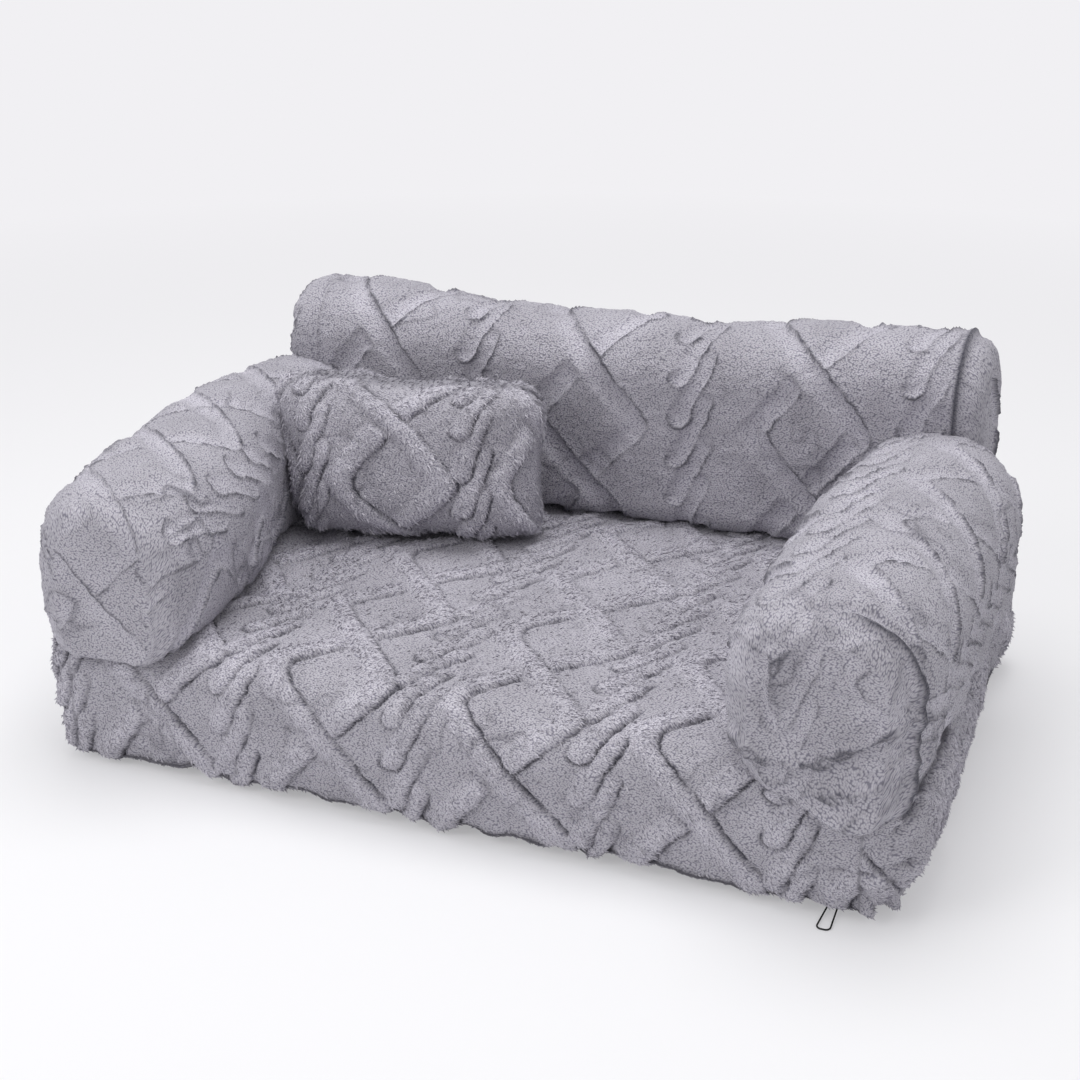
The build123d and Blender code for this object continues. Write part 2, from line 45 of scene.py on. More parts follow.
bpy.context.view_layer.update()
MM = 0.001
FAR_MM = 99.0  # stands for no seam or fold anywhere near
TINY = 1e-9  # keeps a length that is divided by above zero


# Small shared helpers


def linear(hex_colour: str) -> tuple[float, float, float, float]:
    """Turn an sRGB hex colour into linear red, green, blue and alpha.

    Args:
        hex_colour: Six hex digits after a hash sign.

    Returns:
        Linear colour with full alpha.
    """
    values = [int(hex_colour[i : i + 2], 16) / 255 for i in (1, 3, 5)]
    channels = [v / 12.92 if v <= 0.04045 else ((v + 0.055) / 1.055) ** 2.4 for v in values]
    return (channels[0], channels[1], channels[2], 1.0)


def smooth_step(low: float, high: float, value: np.ndarray) -> np.ndarray:
    """Rise smoothly from 0 at low to 1 at high."""
    t = np.clip((value - low) / (high - low), 0.0, 1.0)
    return t * t * (3 - 2 * t)


def smooth_curve(places: np.ndarray, knots: np.ndarray, values: np.ndarray) -> np.ndarray:
    """Follow a table of values with a smooth curve that doesn't overshoot.

    Args:
        places: Places at which the curve is wanted.
        knots: Rising places of the table.
        values: Values at those places.

    Returns:
        One value for each place.
    """
    gaps = np.diff(knots)
    slopes = np.diff(values) / gaps
    tangents = np.zeros_like(values)
    tangents[0], tangents[-1] = slopes[0], slopes[-1]
    same = slopes[:-1] * slopes[1:] > 0
    mean = 2 * slopes[:-1] * slopes[1:] / np.where(same, slopes[:-1] + slopes[1:], 1.0)
    tangents[1:-1] = np.where(same, mean, 0.0)
    index = np.clip(np.searchsorted(knots, places) - 1, 0, len(gaps) - 1)
    gap = gaps[index]
    t = np.clip((places - knots[index]) / gap, 0.0, 1.0)
    start = values[index] * (1 + 2 * t) * (1 - t) ** 2 + tangents[index] * gap * t * (1 - t) ** 2
    end = values[index + 1] * t * t * (3 - 2 * t) + tangents[index + 1] * gap * t * t * (t - 1)
    return start + end


def hill(place: np.ndarray, top: float, width: float) -> np.ndarray:
    """Rise to 1 at the top and fall off smoothly over the width on both sides."""
    return np.exp(-(((place - top) / width) ** 2))


@dataclass(frozen=True)
class SmoothNoise:
    """Random field in space between -1 and 1, the same on each run."""

    seed: int
    size: int = 48

    def at(self, points: np.ndarray, scale: float) -> np.ndarray:
        """Sample the field.

        Args:
            points: Rows of three coordinates in millimetres.
            scale: Size of one bump in millimetres.

        Returns:
            One value for each row.
        """
        table = np.random.RandomState(self.seed).rand(self.size, self.size, self.size) * 2 - 1
        place = points / scale
        cell = np.floor(place).astype(int)
        part = place - cell
        part = part * part * (3 - 2 * part)
        total = np.zeros(len(points))
        for corner in range(8):
            step = np.array([corner & 1, corner >> 1 & 1, corner >> 2 & 1])
            weight = np.prod(np.where(step == 1, part, 1 - part), axis=1)
            index = (cell + step) % self.size
            total += weight * table[index[:, 0], index[:, 1], index[:, 2]]
        return total


@dataclass(frozen=True)
class NoiseLayer:
    """One layer of unevenness: how much, how large its bumps are, and where in its field it starts."""

    share: float
    bump_mm: float
    shift_mm: float = 0.0
    fine: bool = False


# The embossed cloth


@dataclass(frozen=True)
class CableRelief:
    """Embossed plush: columns of diamonds made by two crossing bands, with a twisted cable between columns.

    The pile leans to the right, so that every band and lobe rises softly on its left and ends in a crease on
    its right, sunk in and painted dark as shade. Bands that fall from left to right lie over those that rise.
    """

    column: float = 184.0
    middle_u: float = 0.0
    middle_v: float = 0.0
    diamond_half_width: float = 56.0
    row: float = 137.0
    band_half_width: float = 14.5
    cable_pitch: float = 137.0 / 3
    lobe_half_width: float = 13.0
    lobe_half_length: float = 44.0
    lobe_swing: float = 14.0
    height: float = 7.0
    ground: float = 0.22
    groove: float = 2.6
    groove_width: float = 1.35
    lean: float = 0.28
    flank_power: float = 2.6
    crest_power: float = 0.6
    turn_share: float = 0.975
    # Where a band dips under the other one: share of its turn, and half widths from the other's middle
    dip_turn: float = 0.25
    dip_from: float = 1.45
    dip_to: float = 0.8
    # How a lobe falls off along the cable, in millimetres from its middle
    lobe_share: float = 0.95
    lobe_fall: float = 0.28
    fall_from: float = -20.0
    fall_to: float = 45.0
    # The crease round a lobe, sunk in and painted dark as shade: on its right side, and round its lower end
    end_from: float = -24.0
    end_to: float = -34.0
    end_groove_and_shade: float = 0.9
    fade_length: float = 14.0

    def profile(self, off: np.ndarray, half: float) -> np.ndarray:
        """Height share across a band: a soft rise on the left, a round crest and a steep right side.

        Args:
            off: Distance from the band's middle line, to the right.
            half: Half of the band's width.

        Returns:
            One share for each distance.
        """
        place = np.clip(off / half, -1.0, 1.0)
        crest = place - self.lean * (1 - place**2)
        return self.rounded(np.abs(crest))

    def rounded(self, reach: np.ndarray) -> np.ndarray:
        """Height share at a reach of 0 on the crest to 1 at the edge."""
        return np.clip(1 - reach**self.flank_power, 0.0, 1.0) ** self.crest_power

    def bands(self, across: np.ndarray, v: np.ndarray, waver: np.ndarray) -> tuple[np.ndarray, np.ndarray]:
        """Heights and creases of the two zigzag bands, with their turns slightly rounded.

        Args:
            across: Distance from the middle of the column of diamonds.
            v: Distance along the column.
            waver: Small sideways wander of the edges.

        Returns:
            Height shares and crease shares.
        """
        turn = np.pi * v / self.row
        swing = np.arcsin(self.turn_share * np.cos(turn))
        zigzag = self.diamond_half_width * swing / math.asin(self.turn_share)
        slope = self.row / math.hypot(self.row, 2 * self.diamond_half_width)
        over = np.sin(turn)
        offs = [(across - side * zigzag) * slope + waver for side in (1, -1)]
        heights = []
        lines = []
        for off, other, above in ((offs[0], offs[1], over), (offs[1], offs[0], -over)):
            under = smooth_step(self.dip_turn, -self.dip_turn, above)
            gap = smooth_step(
                self.band_half_width * self.dip_to, self.band_half_width * self.dip_from, np.abs(other)
            )
            free = 1 - under * (1 - gap)
            heights.append(self.profile(off, self.band_half_width) * free)
            lines.append(hill(off, self.band_half_width, self.groove_width) * free)
        height = np.maximum(heights[0], heights[1])
        crease = np.maximum(lines[0] * (heights[1] < 0.5), lines[1] * (heights[0] < 0.5))
        return height, crease

    def cable(self, beside: np.ndarray, v: np.ndarray, waver: np.ndarray) -> tuple[np.ndarray, np.ndarray]:
        """Heights and creases of the cable's overlapping lobes.

        Args:
            beside: Distance from the cable's middle line.
            v: Distance along the cable.
            waver: Small sideways wander of the edges.

        Returns:
            Height shares and crease shares.
        """
        best = np.zeros_like(v)
        crease = np.zeros_like(v)
        first = np.floor(v / self.cable_pitch)
        for step in (-2, -1, 0, 1, 2):
            along = v - (first + step) * self.cable_pitch
            swing = self.lobe_swing * np.sin(np.pi / 2 * np.clip(along / self.lobe_half_length, -1, 1))
            off = beside - swing + waver
            past = np.clip(np.abs(along) - self.lobe_half_length + self.lobe_half_width, 0.0, None)
            radius = np.hypot(off, past) / self.lobe_half_width
            leaned = self.profile(off, self.lobe_half_width)
            height = np.where(past > 0, self.rounded(radius), np.minimum(leaned, 1.0))
            height = height * (1 - self.lobe_fall * smooth_step(self.fall_from, self.fall_to, along))
            rim = np.exp(-(((radius - 1) * self.lobe_half_width / self.groove_width) ** 2))
            right_side = smooth_step(0.1, 0.6, off / self.lobe_half_width)
            near_end = smooth_step(self.end_from, self.end_to, along) * self.end_groove_and_shade
            fade = smooth_step(self.lobe_half_length, self.lobe_half_length - self.fade_length, along)
            side = np.maximum(right_side, near_end) * fade
            crease = np.where((height > best) & (height >= 0.4), 0.0, crease)
            crease = np.maximum(crease, rim * side * (best < 0.95))
            best = np.maximum(best, height)
        return best * self.lobe_share, crease

    def at(
        self, u: np.ndarray, v: np.ndarray, patch: np.ndarray, waver: np.ndarray
    ) -> tuple[np.ndarray, np.ndarray]:
        """Height of the pile over the backing, and how deep in a crease each point lies.

        Args:
            u: Distance across the columns in millimetres.
            v: Distance along the columns in millimetres.
            patch: Random values that break up the creases.
            waver: Small sideways wander of the edges in millimetres.

        Returns:
            Heights in millimetres, and crease shares from 0 to 1.
        """
        u = u - self.middle_u
        v = v - self.middle_v
        across = ((u / self.column + 0.5) % 1.0 - 0.5) * self.column
        beside = ((u / self.column) % 1.0 - 0.5) * self.column
        band, band_crease = self.bands(across, v, waver)
        lobe, lobe_crease = self.cable(beside, v, waver)
        near_cable = np.abs(beside) < self.lobe_swing + self.lobe_half_width + 5
        lobe = np.where(near_cable, lobe, 0.0)
        pile = np.maximum.reduce([band, lobe, np.full_like(u, self.ground)])
        crease = np.maximum(band_crease * (lobe < 0.4), lobe_crease * near_cable * (band < 0.6))
        crease = crease * (0.25 + 0.75 * smooth_step(-0.45, 0.35, patch))
        return pile * self.height - crease * self.groove, crease


# Mesh data


@dataclass
class Surface:
    """Closed grid surface with the cloth's own coordinates and a bake layout.

    seam is each point's distance from a seam, and still is 1 where a point stays where it is.
    """

    points: np.ndarray
    faces: list[tuple[int, ...]]
    cloth: np.ndarray
    seam: np.ndarray
    still: np.ndarray
    corner_cloth: np.ndarray
    corner_bake: np.ndarray

    def normals(self) -> np.ndarray:
        """Work out the outward direction at each point.

        Returns:
            Rows of unit normals, weighted by the faces' areas.
        """
        total = np.zeros_like(self.points)
        for count in (3, 4):
            rows = np.array([f for f in self.faces if len(f) == count])
            if not len(rows):
                continue
            a, b, c, d = (self.points[rows[:, k]] for k in (0, 1, 2, -1))
            flat = np.cross(c - a, d - b) if count == 4 else np.cross(b - a, c - a)
            for k in range(count):
                np.add.at(total, rows[:, k], flat)
        length = np.linalg.norm(total, axis=1, keepdims=True)
        return total / np.maximum(length, TINY)


def make_object(name: str, surface: Surface, crease: np.ndarray, pile: np.ndarray) -> bpy.types.Object:
    """Turn a surface into a mesh object at the origin, in metres.

    Args:
        name: Object name.
        surface: Closed grid surface in millimetres.
        crease: Crease share at each point.
        pile: Pile height share at each point.

    Returns:
        The linked object.
    """
    mesh = bpy.data.meshes.new(name)
    mesh.from_pydata((surface.points * MM).tolist(), [], surface.faces)
    cloth_map = mesh.uv_layers.new(name="Cloth")
    cloth_map.data.foreach_set("uv", (surface.corner_cloth * MM).astype(np.float32).ravel())
    bake_map = mesh.uv_layers.new(name="OFBake")
    bake_map.data.foreach_set("uv", surface.corner_bake.astype(np.float32).ravel())
    for key, values in (("crease", crease), ("pile", pile)):
        layer = mesh.attributes.new(key, "FLOAT", "POINT")
        layer.data.foreach_set("value", values.astype(np.float32))
    mesh.polygons.foreach_set("use_smooth", np.ones(len(mesh.polygons), dtype=bool))
    mesh.update()
    thing = bpy.data.objects.new(name, mesh)
    bpy.context.scene.collection.objects.link(thing)
    return thing


def tube_surface(rings: np.ndarray, cloth_u: np.ndarray, bake_share: float = 0.78) -> Surface:
    """Close a stack of rings with a cap at each end.

    Args:
        rings: Rows of rings, each a loop of points in millimetres, seen anticlockwise from the first end.
        cloth_u: Cloth coordinate of each ring, along the tube.
        bake_share: Share of the bake layout's height that the tube takes.

    Returns:
        Surface whose cloth coordinates run along and round the tube, and flat across the caps.
    """
    rows, count, _ = rings.shape
    steps = np.linalg.norm(np.roll(rings, -1, axis=1) - rings, axis=2)
    around = np.concatenate([np.zeros((rows, 1)), np.cumsum(steps, axis=1)], axis=1)
    middle = around[:, -1:] / 2
    points = [rings.reshape(-1, 3)]
    along = np.broadcast_to(cloth_u[:, None], (rows, count))
    cloth = [np.stack([along, around[:, :-1] - middle], axis=2).reshape(-1, 2)]
    faces: list[tuple[int, ...]] = []
    corner_cloth: list[tuple[float, float]] = []
    corner_bake: list[tuple[float, float]] = []
    span = around - middle
    for i in range(rows - 1):
        for j in range(count):
            k = (j + 1) % count
            faces.append((i * count + j, i * count + k, (i + 1) * count + k, (i + 1) * count + j))
            for a, b in ((i, j), (i, j + 1), (i + 1, j + 1), (i + 1, j)):
                corner_cloth.append((cloth_u[a], span[a, b]))
                corner_bake.append((0.005 + 0.99 * b / count, 0.005 + (bake_share - 0.01) * a / (rows - 1)))
    size = rows * count
    spacing = float(np.median(steps))
    for end, ring_index in ((0, 0), (1, rows - 1)):
        ring = rings[ring_index]
        centre = ring.mean(axis=0)
        reach = np.linalg.norm(ring - centre, axis=1).mean()
        loops = max(3, int(reach / spacing))
        flat_axes = [axis for axis in range(3) if np.ptp(ring[:, axis]) > 1.0]
        a_axis, b_axis = flat_axes[0], flat_axes[-1]
        low, high = ring.min(axis=0), ring.max(axis=0)
        side = max(high[a_axis] - low[a_axis], high[b_axis] - low[b_axis])

        def bake_place(point: np.ndarray) -> tuple[float, float]:
            """Place a cap's point in the bake layout.

            Args:
                point: The point in millimetres.

            Returns:
                Two coordinates from 0 to 1.
            """
            room = 0.97 - bake_share
            u = (point[a_axis] - low[a_axis]) / side * room + 0.01 + 0.5 * end
            v = (point[b_axis] - low[b_axis]) / side * room + bake_share + 0.01
            return (float(u), float(v))

        previous = [ring_index * count + j for j in range(count)]
        for loop in range(1, loops):
            share = 1 - loop / loops
            inner_points = centre + (ring - centre) * share
            points.append(inner_points)
            cloth.append(inner_points[:, [a_axis, b_axis]])
            current = [size + j for j in range(count)]
            size += count
            for j in range(count):
                k = (j + 1) % count
                one, two = (k, j) if end == 0 else (j, k)
                faces.append((previous[one], previous[two], current[two], current[one]))
                outer_share = 1 - (loop - 1) / loops
                for index, part in ((one, outer_share), (two, outer_share), (two, share), (one, share)):
                    spot = centre + (ring[index] - centre) * part
                    corner_cloth.append((float(spot[a_axis]), float(spot[b_axis])))
                    corner_bake.append(bake_place(spot))
            previous = current
        points.append(centre[None, :])
        cloth.append(centre[None, [a_axis, b_axis]])
        share = 1 / loops
        for j in range(count):
            k = (j + 1) % count
            order = (k, j) if end == 0 else (j, k)
            faces.append((previous[order[0]], previous[order[1]], size))
            for index in order:
                spot = centre + (ring[index] - centre) * share
                corner_cloth.append((float(spot[a_axis]), float(spot[b_axis])))
                corner_bake.append(bake_place(spot))
            corner_cloth.append((float(centre[a_axis]), float(centre[b_axis])))
            corner_bake.append(bake_place(centre))
        size += 1
    everything = np.concatenate(points)
    return Surface(
        points=everything,
        faces=faces,
        cloth=np.concatenate(cloth),
        seam=np.full(len(everything), FAR_MM),
        still=np.zeros(len(everything)),
        corner_cloth=np.array(corner_cloth),
        corner_bake=np.array(corner_bake),
    )


def cloth_run(rings: np.ndarray, axis: int) -> np.ndarray:
    """Length of cloth along a stack of rings, which equals the place along the axis at its middle.

    Args:
        rings: Rows of rings in millimetres.
        axis: Axis along which the rings are stacked.

    Returns:
        One cloth coordinate for each ring.
    """
    steps = np.linalg.norm(np.diff(rings, axis=0), axis=2).mean(axis=1)
    run = np.concatenate([[0.0], np.cumsum(steps)])
    centre = len(rings) // 2
    return run - run[centre] + rings[centre, 0, axis]


def rounded_ring(
    corners: list[tuple[float, float]],
    radii: list[float],
    count: int,
    start: tuple[float, float],
    arc_points: int = 24,
    fine_points: int = 4000,
) -> np.ndarray:
    """Loop of evenly spaced points round a polygon with rounded corners.

    Args:
        corners: Polygon corners, anticlockwise.
        radii: Radius at each corner.
        count: Number of points.
        start: The loop starts at its point nearest to this one.
        arc_points: Points on each rounded corner before they are spaced evenly.
        fine_points: Points of the fine loop that the even ones are picked from.

    Returns:
        Rows of two coordinates.
    """
    path: list[tuple[float, float]] = []
    total = len(corners)
    for i, corner in enumerate(corners):
        before = np.subtract(corners[i - 1], corner)
        after = np.subtract(corners[(i + 1) % total], corner)
        before = before / np.linalg.norm(before)
        after = after / np.linalg.norm(after)
        half = math.acos(float(np.clip(before @ after, -1, 1))) / 2
        cut = radii[i] / math.tan(half)
        bisector = (before + after) / np.linalg.norm(before + after)
        centre = np.array(corner) + bisector * radii[i] / math.sin(half)
        first = np.array(corner) + before * cut - centre
        last = np.array(corner) + after * cut - centre
        a0, a1 = math.atan2(first[1], first[0]), math.atan2(last[1], last[0])
        if a1 < a0:
            a1 += 2 * math.pi
        for a in np.linspace(a0, a1, arc_points):
            path.append((centre[0] + radii[i] * math.cos(a), centre[1] + radii[i] * math.sin(a)))
    loop = np.array(path + path[:1])
    lengths = np.concatenate([[0], np.cumsum(np.linalg.norm(np.diff(loop, axis=0), axis=1))])
    fine = np.linspace(0, lengths[-1], fine_points, endpoint=False)
    dense = np.stack([np.interp(fine, lengths, loop[:, k]) for k in (0, 1)], axis=1)
    nearest = int(np.argmin(np.hypot(dense[:, 0] - start[0], dense[:, 1] - start[1])))
    dense = np.roll(dense, -nearest, axis=0)
    index = (np.arange(count) * len(dense) / count).astype(int)
    return dense[index]


def seat_surface(
    half_width: float,
    half_depth: float,
    top: float,
    bottom: float,
    edge_radius: float,
    hem_turn: float,
    spacing: float,
) -> tuple[Surface, np.ndarray]:
    """Rounded slab whose top grid runs on down its walls, closed underneath.

    Args:
        half_width: Half of the slab's width.
        half_depth: Half of its depth.
        top: Height of its top face.
        bottom: Height of its underside.
        edge_radius: Radius of its top edges and upright corners.
        hem_turn: How far inwards the cloth turns under at the hem.
        spacing: Distance between neighbouring points.

    Returns:
        The surface, and the outward direction of the slab at each point.
    """
    nx = int(2 * half_width / spacing)
    ny = int(2 * half_depth / spacing)
    nz = int((top - bottom) / spacing)
    xs = np.linspace(-half_width, half_width, nx + 1)
    ys = np.linspace(-half_depth, half_depth, ny + 1)
    zs = np.linspace(top, bottom, nz + 1)[1:]
    grid_x, grid_y = np.meshgrid(xs, ys)
    flat = np.stack([grid_x.ravel(), grid_y.ravel(), np.full(grid_x.size, top)], axis=1)
    rim_index = list(range(nx + 1))
    rim_index += [(i + 1) * (nx + 1) - 1 for i in range(1, ny + 1)]
    rim_index += [ny * (nx + 1) + j for j in range(nx - 1, -1, -1)]
    rim_index += [i * (nx + 1) for i in range(ny - 1, 0, -1)]
    rim = flat[rim_index]
    count = len(rim_index)
    walls = [np.column_stack([rim[:, 0], rim[:, 1], np.full(count, z)]) for z in zs]
    raw = np.concatenate([flat] + walls + [np.array([[0.0, 0.0, bottom]])])
    core = np.stack(
        [
            np.clip(raw[:, 0], edge_radius - half_width, half_width - edge_radius),
            np.clip(raw[:, 1], edge_radius - half_depth, half_depth - edge_radius),
            np.minimum(raw[:, 2], top - edge_radius),
        ],
        axis=1,
    )
    away = raw - core
    away /= np.maximum(np.linalg.norm(away, axis=1, keepdims=True), TINY)
    points = core + away * edge_radius
    lip = core[-count - 1 : -1] + away[-count - 1 : -1] * (edge_radius - hem_turn)
    lip[:, 2] = bottom
    points = np.concatenate([points[:-1], lip, raw[-1:]])
    away = np.concatenate([away[:-1], np.tile((0.0, 0.0, -1.0), (count + 1, 1))])
    faces: list[tuple[int, ...]] = []
    bake: list[tuple[float, float]] = []
    top_room = 0.62
    wall_room = 0.17
    halves = 2  # the walls lie in the bake layout as two rows
    for i in range(ny):
        for j in range(nx):
            a = i * (nx + 1) + j
            faces.append((a, a + 1, a + nx + 2, a + nx + 1))
            for di, dj in ((0, 0), (0, 1), (1, 1), (1, 0)):
                bake.append((0.01 + 0.9 * (j + dj) / nx, 0.01 + top_room * (i + di) / ny))
    start = len(flat)
    rings = [rim_index] + [[start + k * count + j for j in range(count)] for k in range(len(zs))]
    for k in range(len(rings) - 1):
        for j in range(count):
            n = (j + 1) % count
            faces.append((rings[k][n], rings[k][j], rings[k + 1][j], rings[k + 1][n]))
            part = int(halves * j / count)
            for dk, dj in ((0, 1), (0, 0), (1, 0), (1, 1)):
                along = (j + dj) * halves / count - part
                down = (k + dk) / (len(rings) - 1)
                bake.append((0.01 + 0.98 * along, 0.65 + wall_room * (part + 0.98 * down)))
    last = [len(points) - 1 - count + j for j in range(count)]
    middle = len(points) - 1
    for j in range(count):
        n = (j + 1) % count
        faces.append((rings[-1][n], rings[-1][j], last[j], last[n]))
        for across, dj in ((0, 1), (0, 0), (1, 0), (1, 1)):
            bake.append((0.93 + 0.01 * across, 0.05 + 0.55 * (j + dj) / count))
        faces.append((last[n], last[j], middle))
        bake += [(0.95, 0.02), (0.96, 0.02), (0.955, 0.03)]
    corner = np.array([index for face in faces for index in face])
    surface = Surface(
        points=points,
        faces=faces,
        cloth=points[:, :2].copy(),
        seam=np.full(len(points), FAR_MM),
        still=np.zeros(len(points)),
        corner_cloth=points[corner][:, :2],
        corner_bake=np.array(bake),
    )
    return surface, away


# Finishes


def add_node(
    tree: bpy.types.NodeTree,
    kind: str,
    settings: dict | None = None,
    links: dict | None = None,
) -> bpy.types.Node:
    """Add a node with its settings and links.

    Args:
        tree: Node tree that gets the node.
        kind: Blender's name of the node type.
        settings: Attribute names, or input names after "in:", with their values.
        links: Input names or numbers with the output socket that feeds each.

    Returns:
        The new node.
    """
    node = tree.nodes.new(kind)
    for key, value in (settings or {}).items():
        if key.startswith("in:"):
            name = key[3:]
            node.inputs[int(name) if name.isdigit() else name].default_value = value
        else:
            setattr(node, key, value)
    for key, socket in (links or {}).items():
        tree.links.new(socket, node.inputs[key])
    return node


def new_material(name: str) -> tuple[bpy.types.Material, bpy.types.NodeTree, bpy.types.Node]:
    """Start a material.

    Args:
        name: Name of the real material.

    Returns:
        The material, its node tree and its shader.
    """
    material = bpy.data.materials.new(name)
    material.use_nodes = True
    tree = material.node_tree
    return material, tree, tree.nodes["Principled BSDF"]


@dataclass(frozen=True)
class PlushFinish:
    """Knitted polyester plush, brushed and then embossed.

    The brushed pile is matt with a soft glow at grazing angles. The tips of its locks are pale, the gaps
    between them carry painted shade and the ends of the standing locks a painted highlight. The relief has
    painted shade down in it and painted light on its raised bands, and the pressed lines of the pattern, its
    seams and its folds carry the darkest painted shade.
    """

    name: str = "grey_polyester_plush"
    tip: str = "#C4C1C9"
    middle: str = "#ADAAB4"
    # Painted shade in the gaps between the locks
    gap_shade: str = "#83818D"
    # Painted shade in the creases: the pattern's pressed lines, the seams and the folds
    crease: str = "#33333D"
    glow: str = "#D9D7E0"
    # Single strands are too fine for the render, so that locks of them are drawn, coarser than the real ones
    lock_mm: float = 1.6
    lock_length_mm: float = 2.2
    swirl_mm: float = 26.0
    drift_m: float = 0.009
    comb_turn: float = 0.35
    cloud_mm: float = 60.0
    bump_m: float = 0.0014

    def build(self) -> bpy.types.Material:
        """Make the material with its strands, tone drift and creases.

        Returns:
            The new material.
        """
        material, tree, shader = new_material(self.name)
        shader.inputs["Roughness"].default_value = 0.95
        shader.inputs["Specular IOR Level"].default_value = 0.12
        shader.inputs["Sheen Weight"].default_value = 0.25
        shader.inputs["Sheen Roughness"].default_value = 0.55
        shader.inputs["Sheen Tint"].default_value = linear(self.glow)
        where = add_node(tree, "ShaderNodeTexCoord").outputs["Object"]
        strands = self.strands(tree, where)
        tipped = self.tone(tree, strands)
        level = self.level(tree, where)
        shaded = add_node(
            tree, "ShaderNodeVectorMath", {"operation": "SCALE"}, {0: tipped, "Scale": level}
        ).outputs["Vector"]
        # Paint shade into the colour where the crease attribute is high
        crease = add_node(tree, "ShaderNodeAttribute", {"attribute_name": "crease"}).outputs["Fac"]
        depth = add_node(
            tree, "ShaderNodeMath", {"operation": "MULTIPLY", "in:1": 0.92, "use_clamp": True}, {0: crease}
        ).outputs[0]
        colour = add_node(tree, "ShaderNodeMix", {"data_type": "RGBA"}, {0: depth, 6: shaded})
        colour.inputs[7].default_value = linear(self.crease)
        tree.links.new(colour.outputs[2], shader.inputs["Base Color"])
        bump = add_node(
            tree, "ShaderNodeBump", {"in:Strength": 0.5, "in:Distance": self.bump_m}, {"Height": strands}
        ).outputs["Normal"]
        tree.links.new(bump, shader.inputs["Normal"])
        return material

    def strands(self, tree: bpy.types.NodeTree, where: bpy.types.NodeSocket) -> bpy.types.NodeSocket:
        """Draw combed locks on the cloth, from 0 between them to 1 at their middles.

        Args:
            tree: Node tree of the material.
            where: Object coordinates, which sway the locks.

        Returns:
            Socket with the locks' height.
        """
        cloth = add_node(tree, "ShaderNodeAttribute", {"attribute_name": "Cloth"}).outputs["Vector"]
        swirl = add_node(
            tree,
            "ShaderNodeTexNoise",
            {"in:Scale": 1 / (self.swirl_mm * MM), "in:Detail": 2.0},
            {"Vector": where},
        ).outputs["Color"]
        centred = add_node(
            tree, "ShaderNodeVectorMath", {"operation": "SUBTRACT", "in:1": (0.5, 0.5, 0.5)}, {0: swirl}
        ).outputs["Vector"]
        drift = add_node(
            tree, "ShaderNodeVectorMath", {"operation": "SCALE", "in:Scale": self.drift_m}, {0: centred}
        ).outputs["Vector"]
        bent = add_node(
            tree, "ShaderNodeVectorMath", {"operation": "ADD"}, {0: cloth, 1: drift}
        ).outputs["Vector"]
        locks_per_metre = (1 / (self.lock_length_mm * MM), 1 / (self.lock_mm * MM), 1.0)
        combed = add_node(
            tree,
            "ShaderNodeMapping",
            {"in:Scale": locks_per_metre, "in:Rotation": (0, 0, self.comb_turn)},
            {"Vector": bent},
        ).outputs["Vector"]
        locks = add_node(
            tree,
            "ShaderNodeTexVoronoi",
            {"voronoi_dimensions": "2D", "in:Scale": 1.0, "in:Randomness": 0.9},
            {"Vector": combed},
        ).outputs["Distance"]
        return add_node(
            tree,
            "ShaderNodeMapRange",
            {"in:From Min": 0.1, "in:From Max": 0.7, "in:To Min": 1.0, "in:To Max": 0.0},
            {"Value": locks},
        ).outputs["Result"]

    def tone(self, tree: bpy.types.NodeTree, strands: bpy.types.NodeSocket) -> bpy.types.NodeSocket:
        """Colour the locks from the painted shade between them to the tip, and paint the standing locks' ends
        with the tip's colour as a highlight.

        Args:
            tree: Node tree of the material.
            strands: Height of the drawn locks.

        Returns:
            Socket with the colour.
        """
        tone = add_node(tree, "ShaderNodeValToRGB", {}, {"Fac": strands})
        ramp = tone.color_ramp
        ramp.elements[0].position = 0.06
        ramp.elements[0].color = linear(self.gap_shade)
        ramp.elements[1].position = 0.95
        ramp.elements[1].color = linear(self.tip)
        ramp.elements.new(0.32).color = linear(self.middle)
        # The standing locks turn paler towards their ends, a painted highlight
        lock = add_node(tree, "ShaderNodeAttribute", {"attribute_name": "lock"}).outputs["Fac"]
        height = add_node(
            tree, "ShaderNodeMath", {"operation": "MULTIPLY", "in:1": 0.9}, {0: lock}
        ).outputs[0]
        tipped = add_node(tree, "ShaderNodeMix", {"data_type": "RGBA"}, {0: height, 6: tone.outputs["Color"]})
        tipped.inputs[7].default_value = linear(self.tip)
        return tipped.outputs[2]

    def level(self, tree: bpy.types.NodeTree, where: bpy.types.NodeSocket) -> bpy.types.NodeSocket:
        """Vary the cloth's tone in soft random clouds, and paint shade down in its relief and light on its
        raised bands.

        Args:
            tree: Node tree of the material.
            where: Object coordinates, in which the clouds lie.

        Returns:
            Socket with the factor on the colour.
        """
        cloud = add_node(
            tree,
            "ShaderNodeTexNoise",
            {"in:Scale": 1 / (self.cloud_mm * MM), "in:Detail": 3.0},
            {"Vector": where},
        ).outputs["Fac"]
        cloud_span = add_node(
            tree,
            "ShaderNodeMapRange",
            {"in:From Min": 0.3, "in:From Max": 0.7, "in:To Min": 0.86, "in:To Max": 1.08},
            {"Value": cloud},
        ).outputs["Result"]
        # Painted shade down in the relief and painted light on its raised bands
        pile = add_node(tree, "ShaderNodeAttribute", {"attribute_name": "pile"}).outputs["Fac"]
        relief_shade = add_node(
            tree,
            "ShaderNodeMapRange",
            {"in:From Min": 0.0, "in:From Max": 1.0, "in:To Min": 0.84, "in:To Max": 1.08},
            {"Value": pile},
        ).outputs["Result"]
        return add_node(
            tree, "ShaderNodeMath", {"operation": "MULTIPLY"}, {0: cloud_span, 1: relief_shade}
        ).outputs[0]


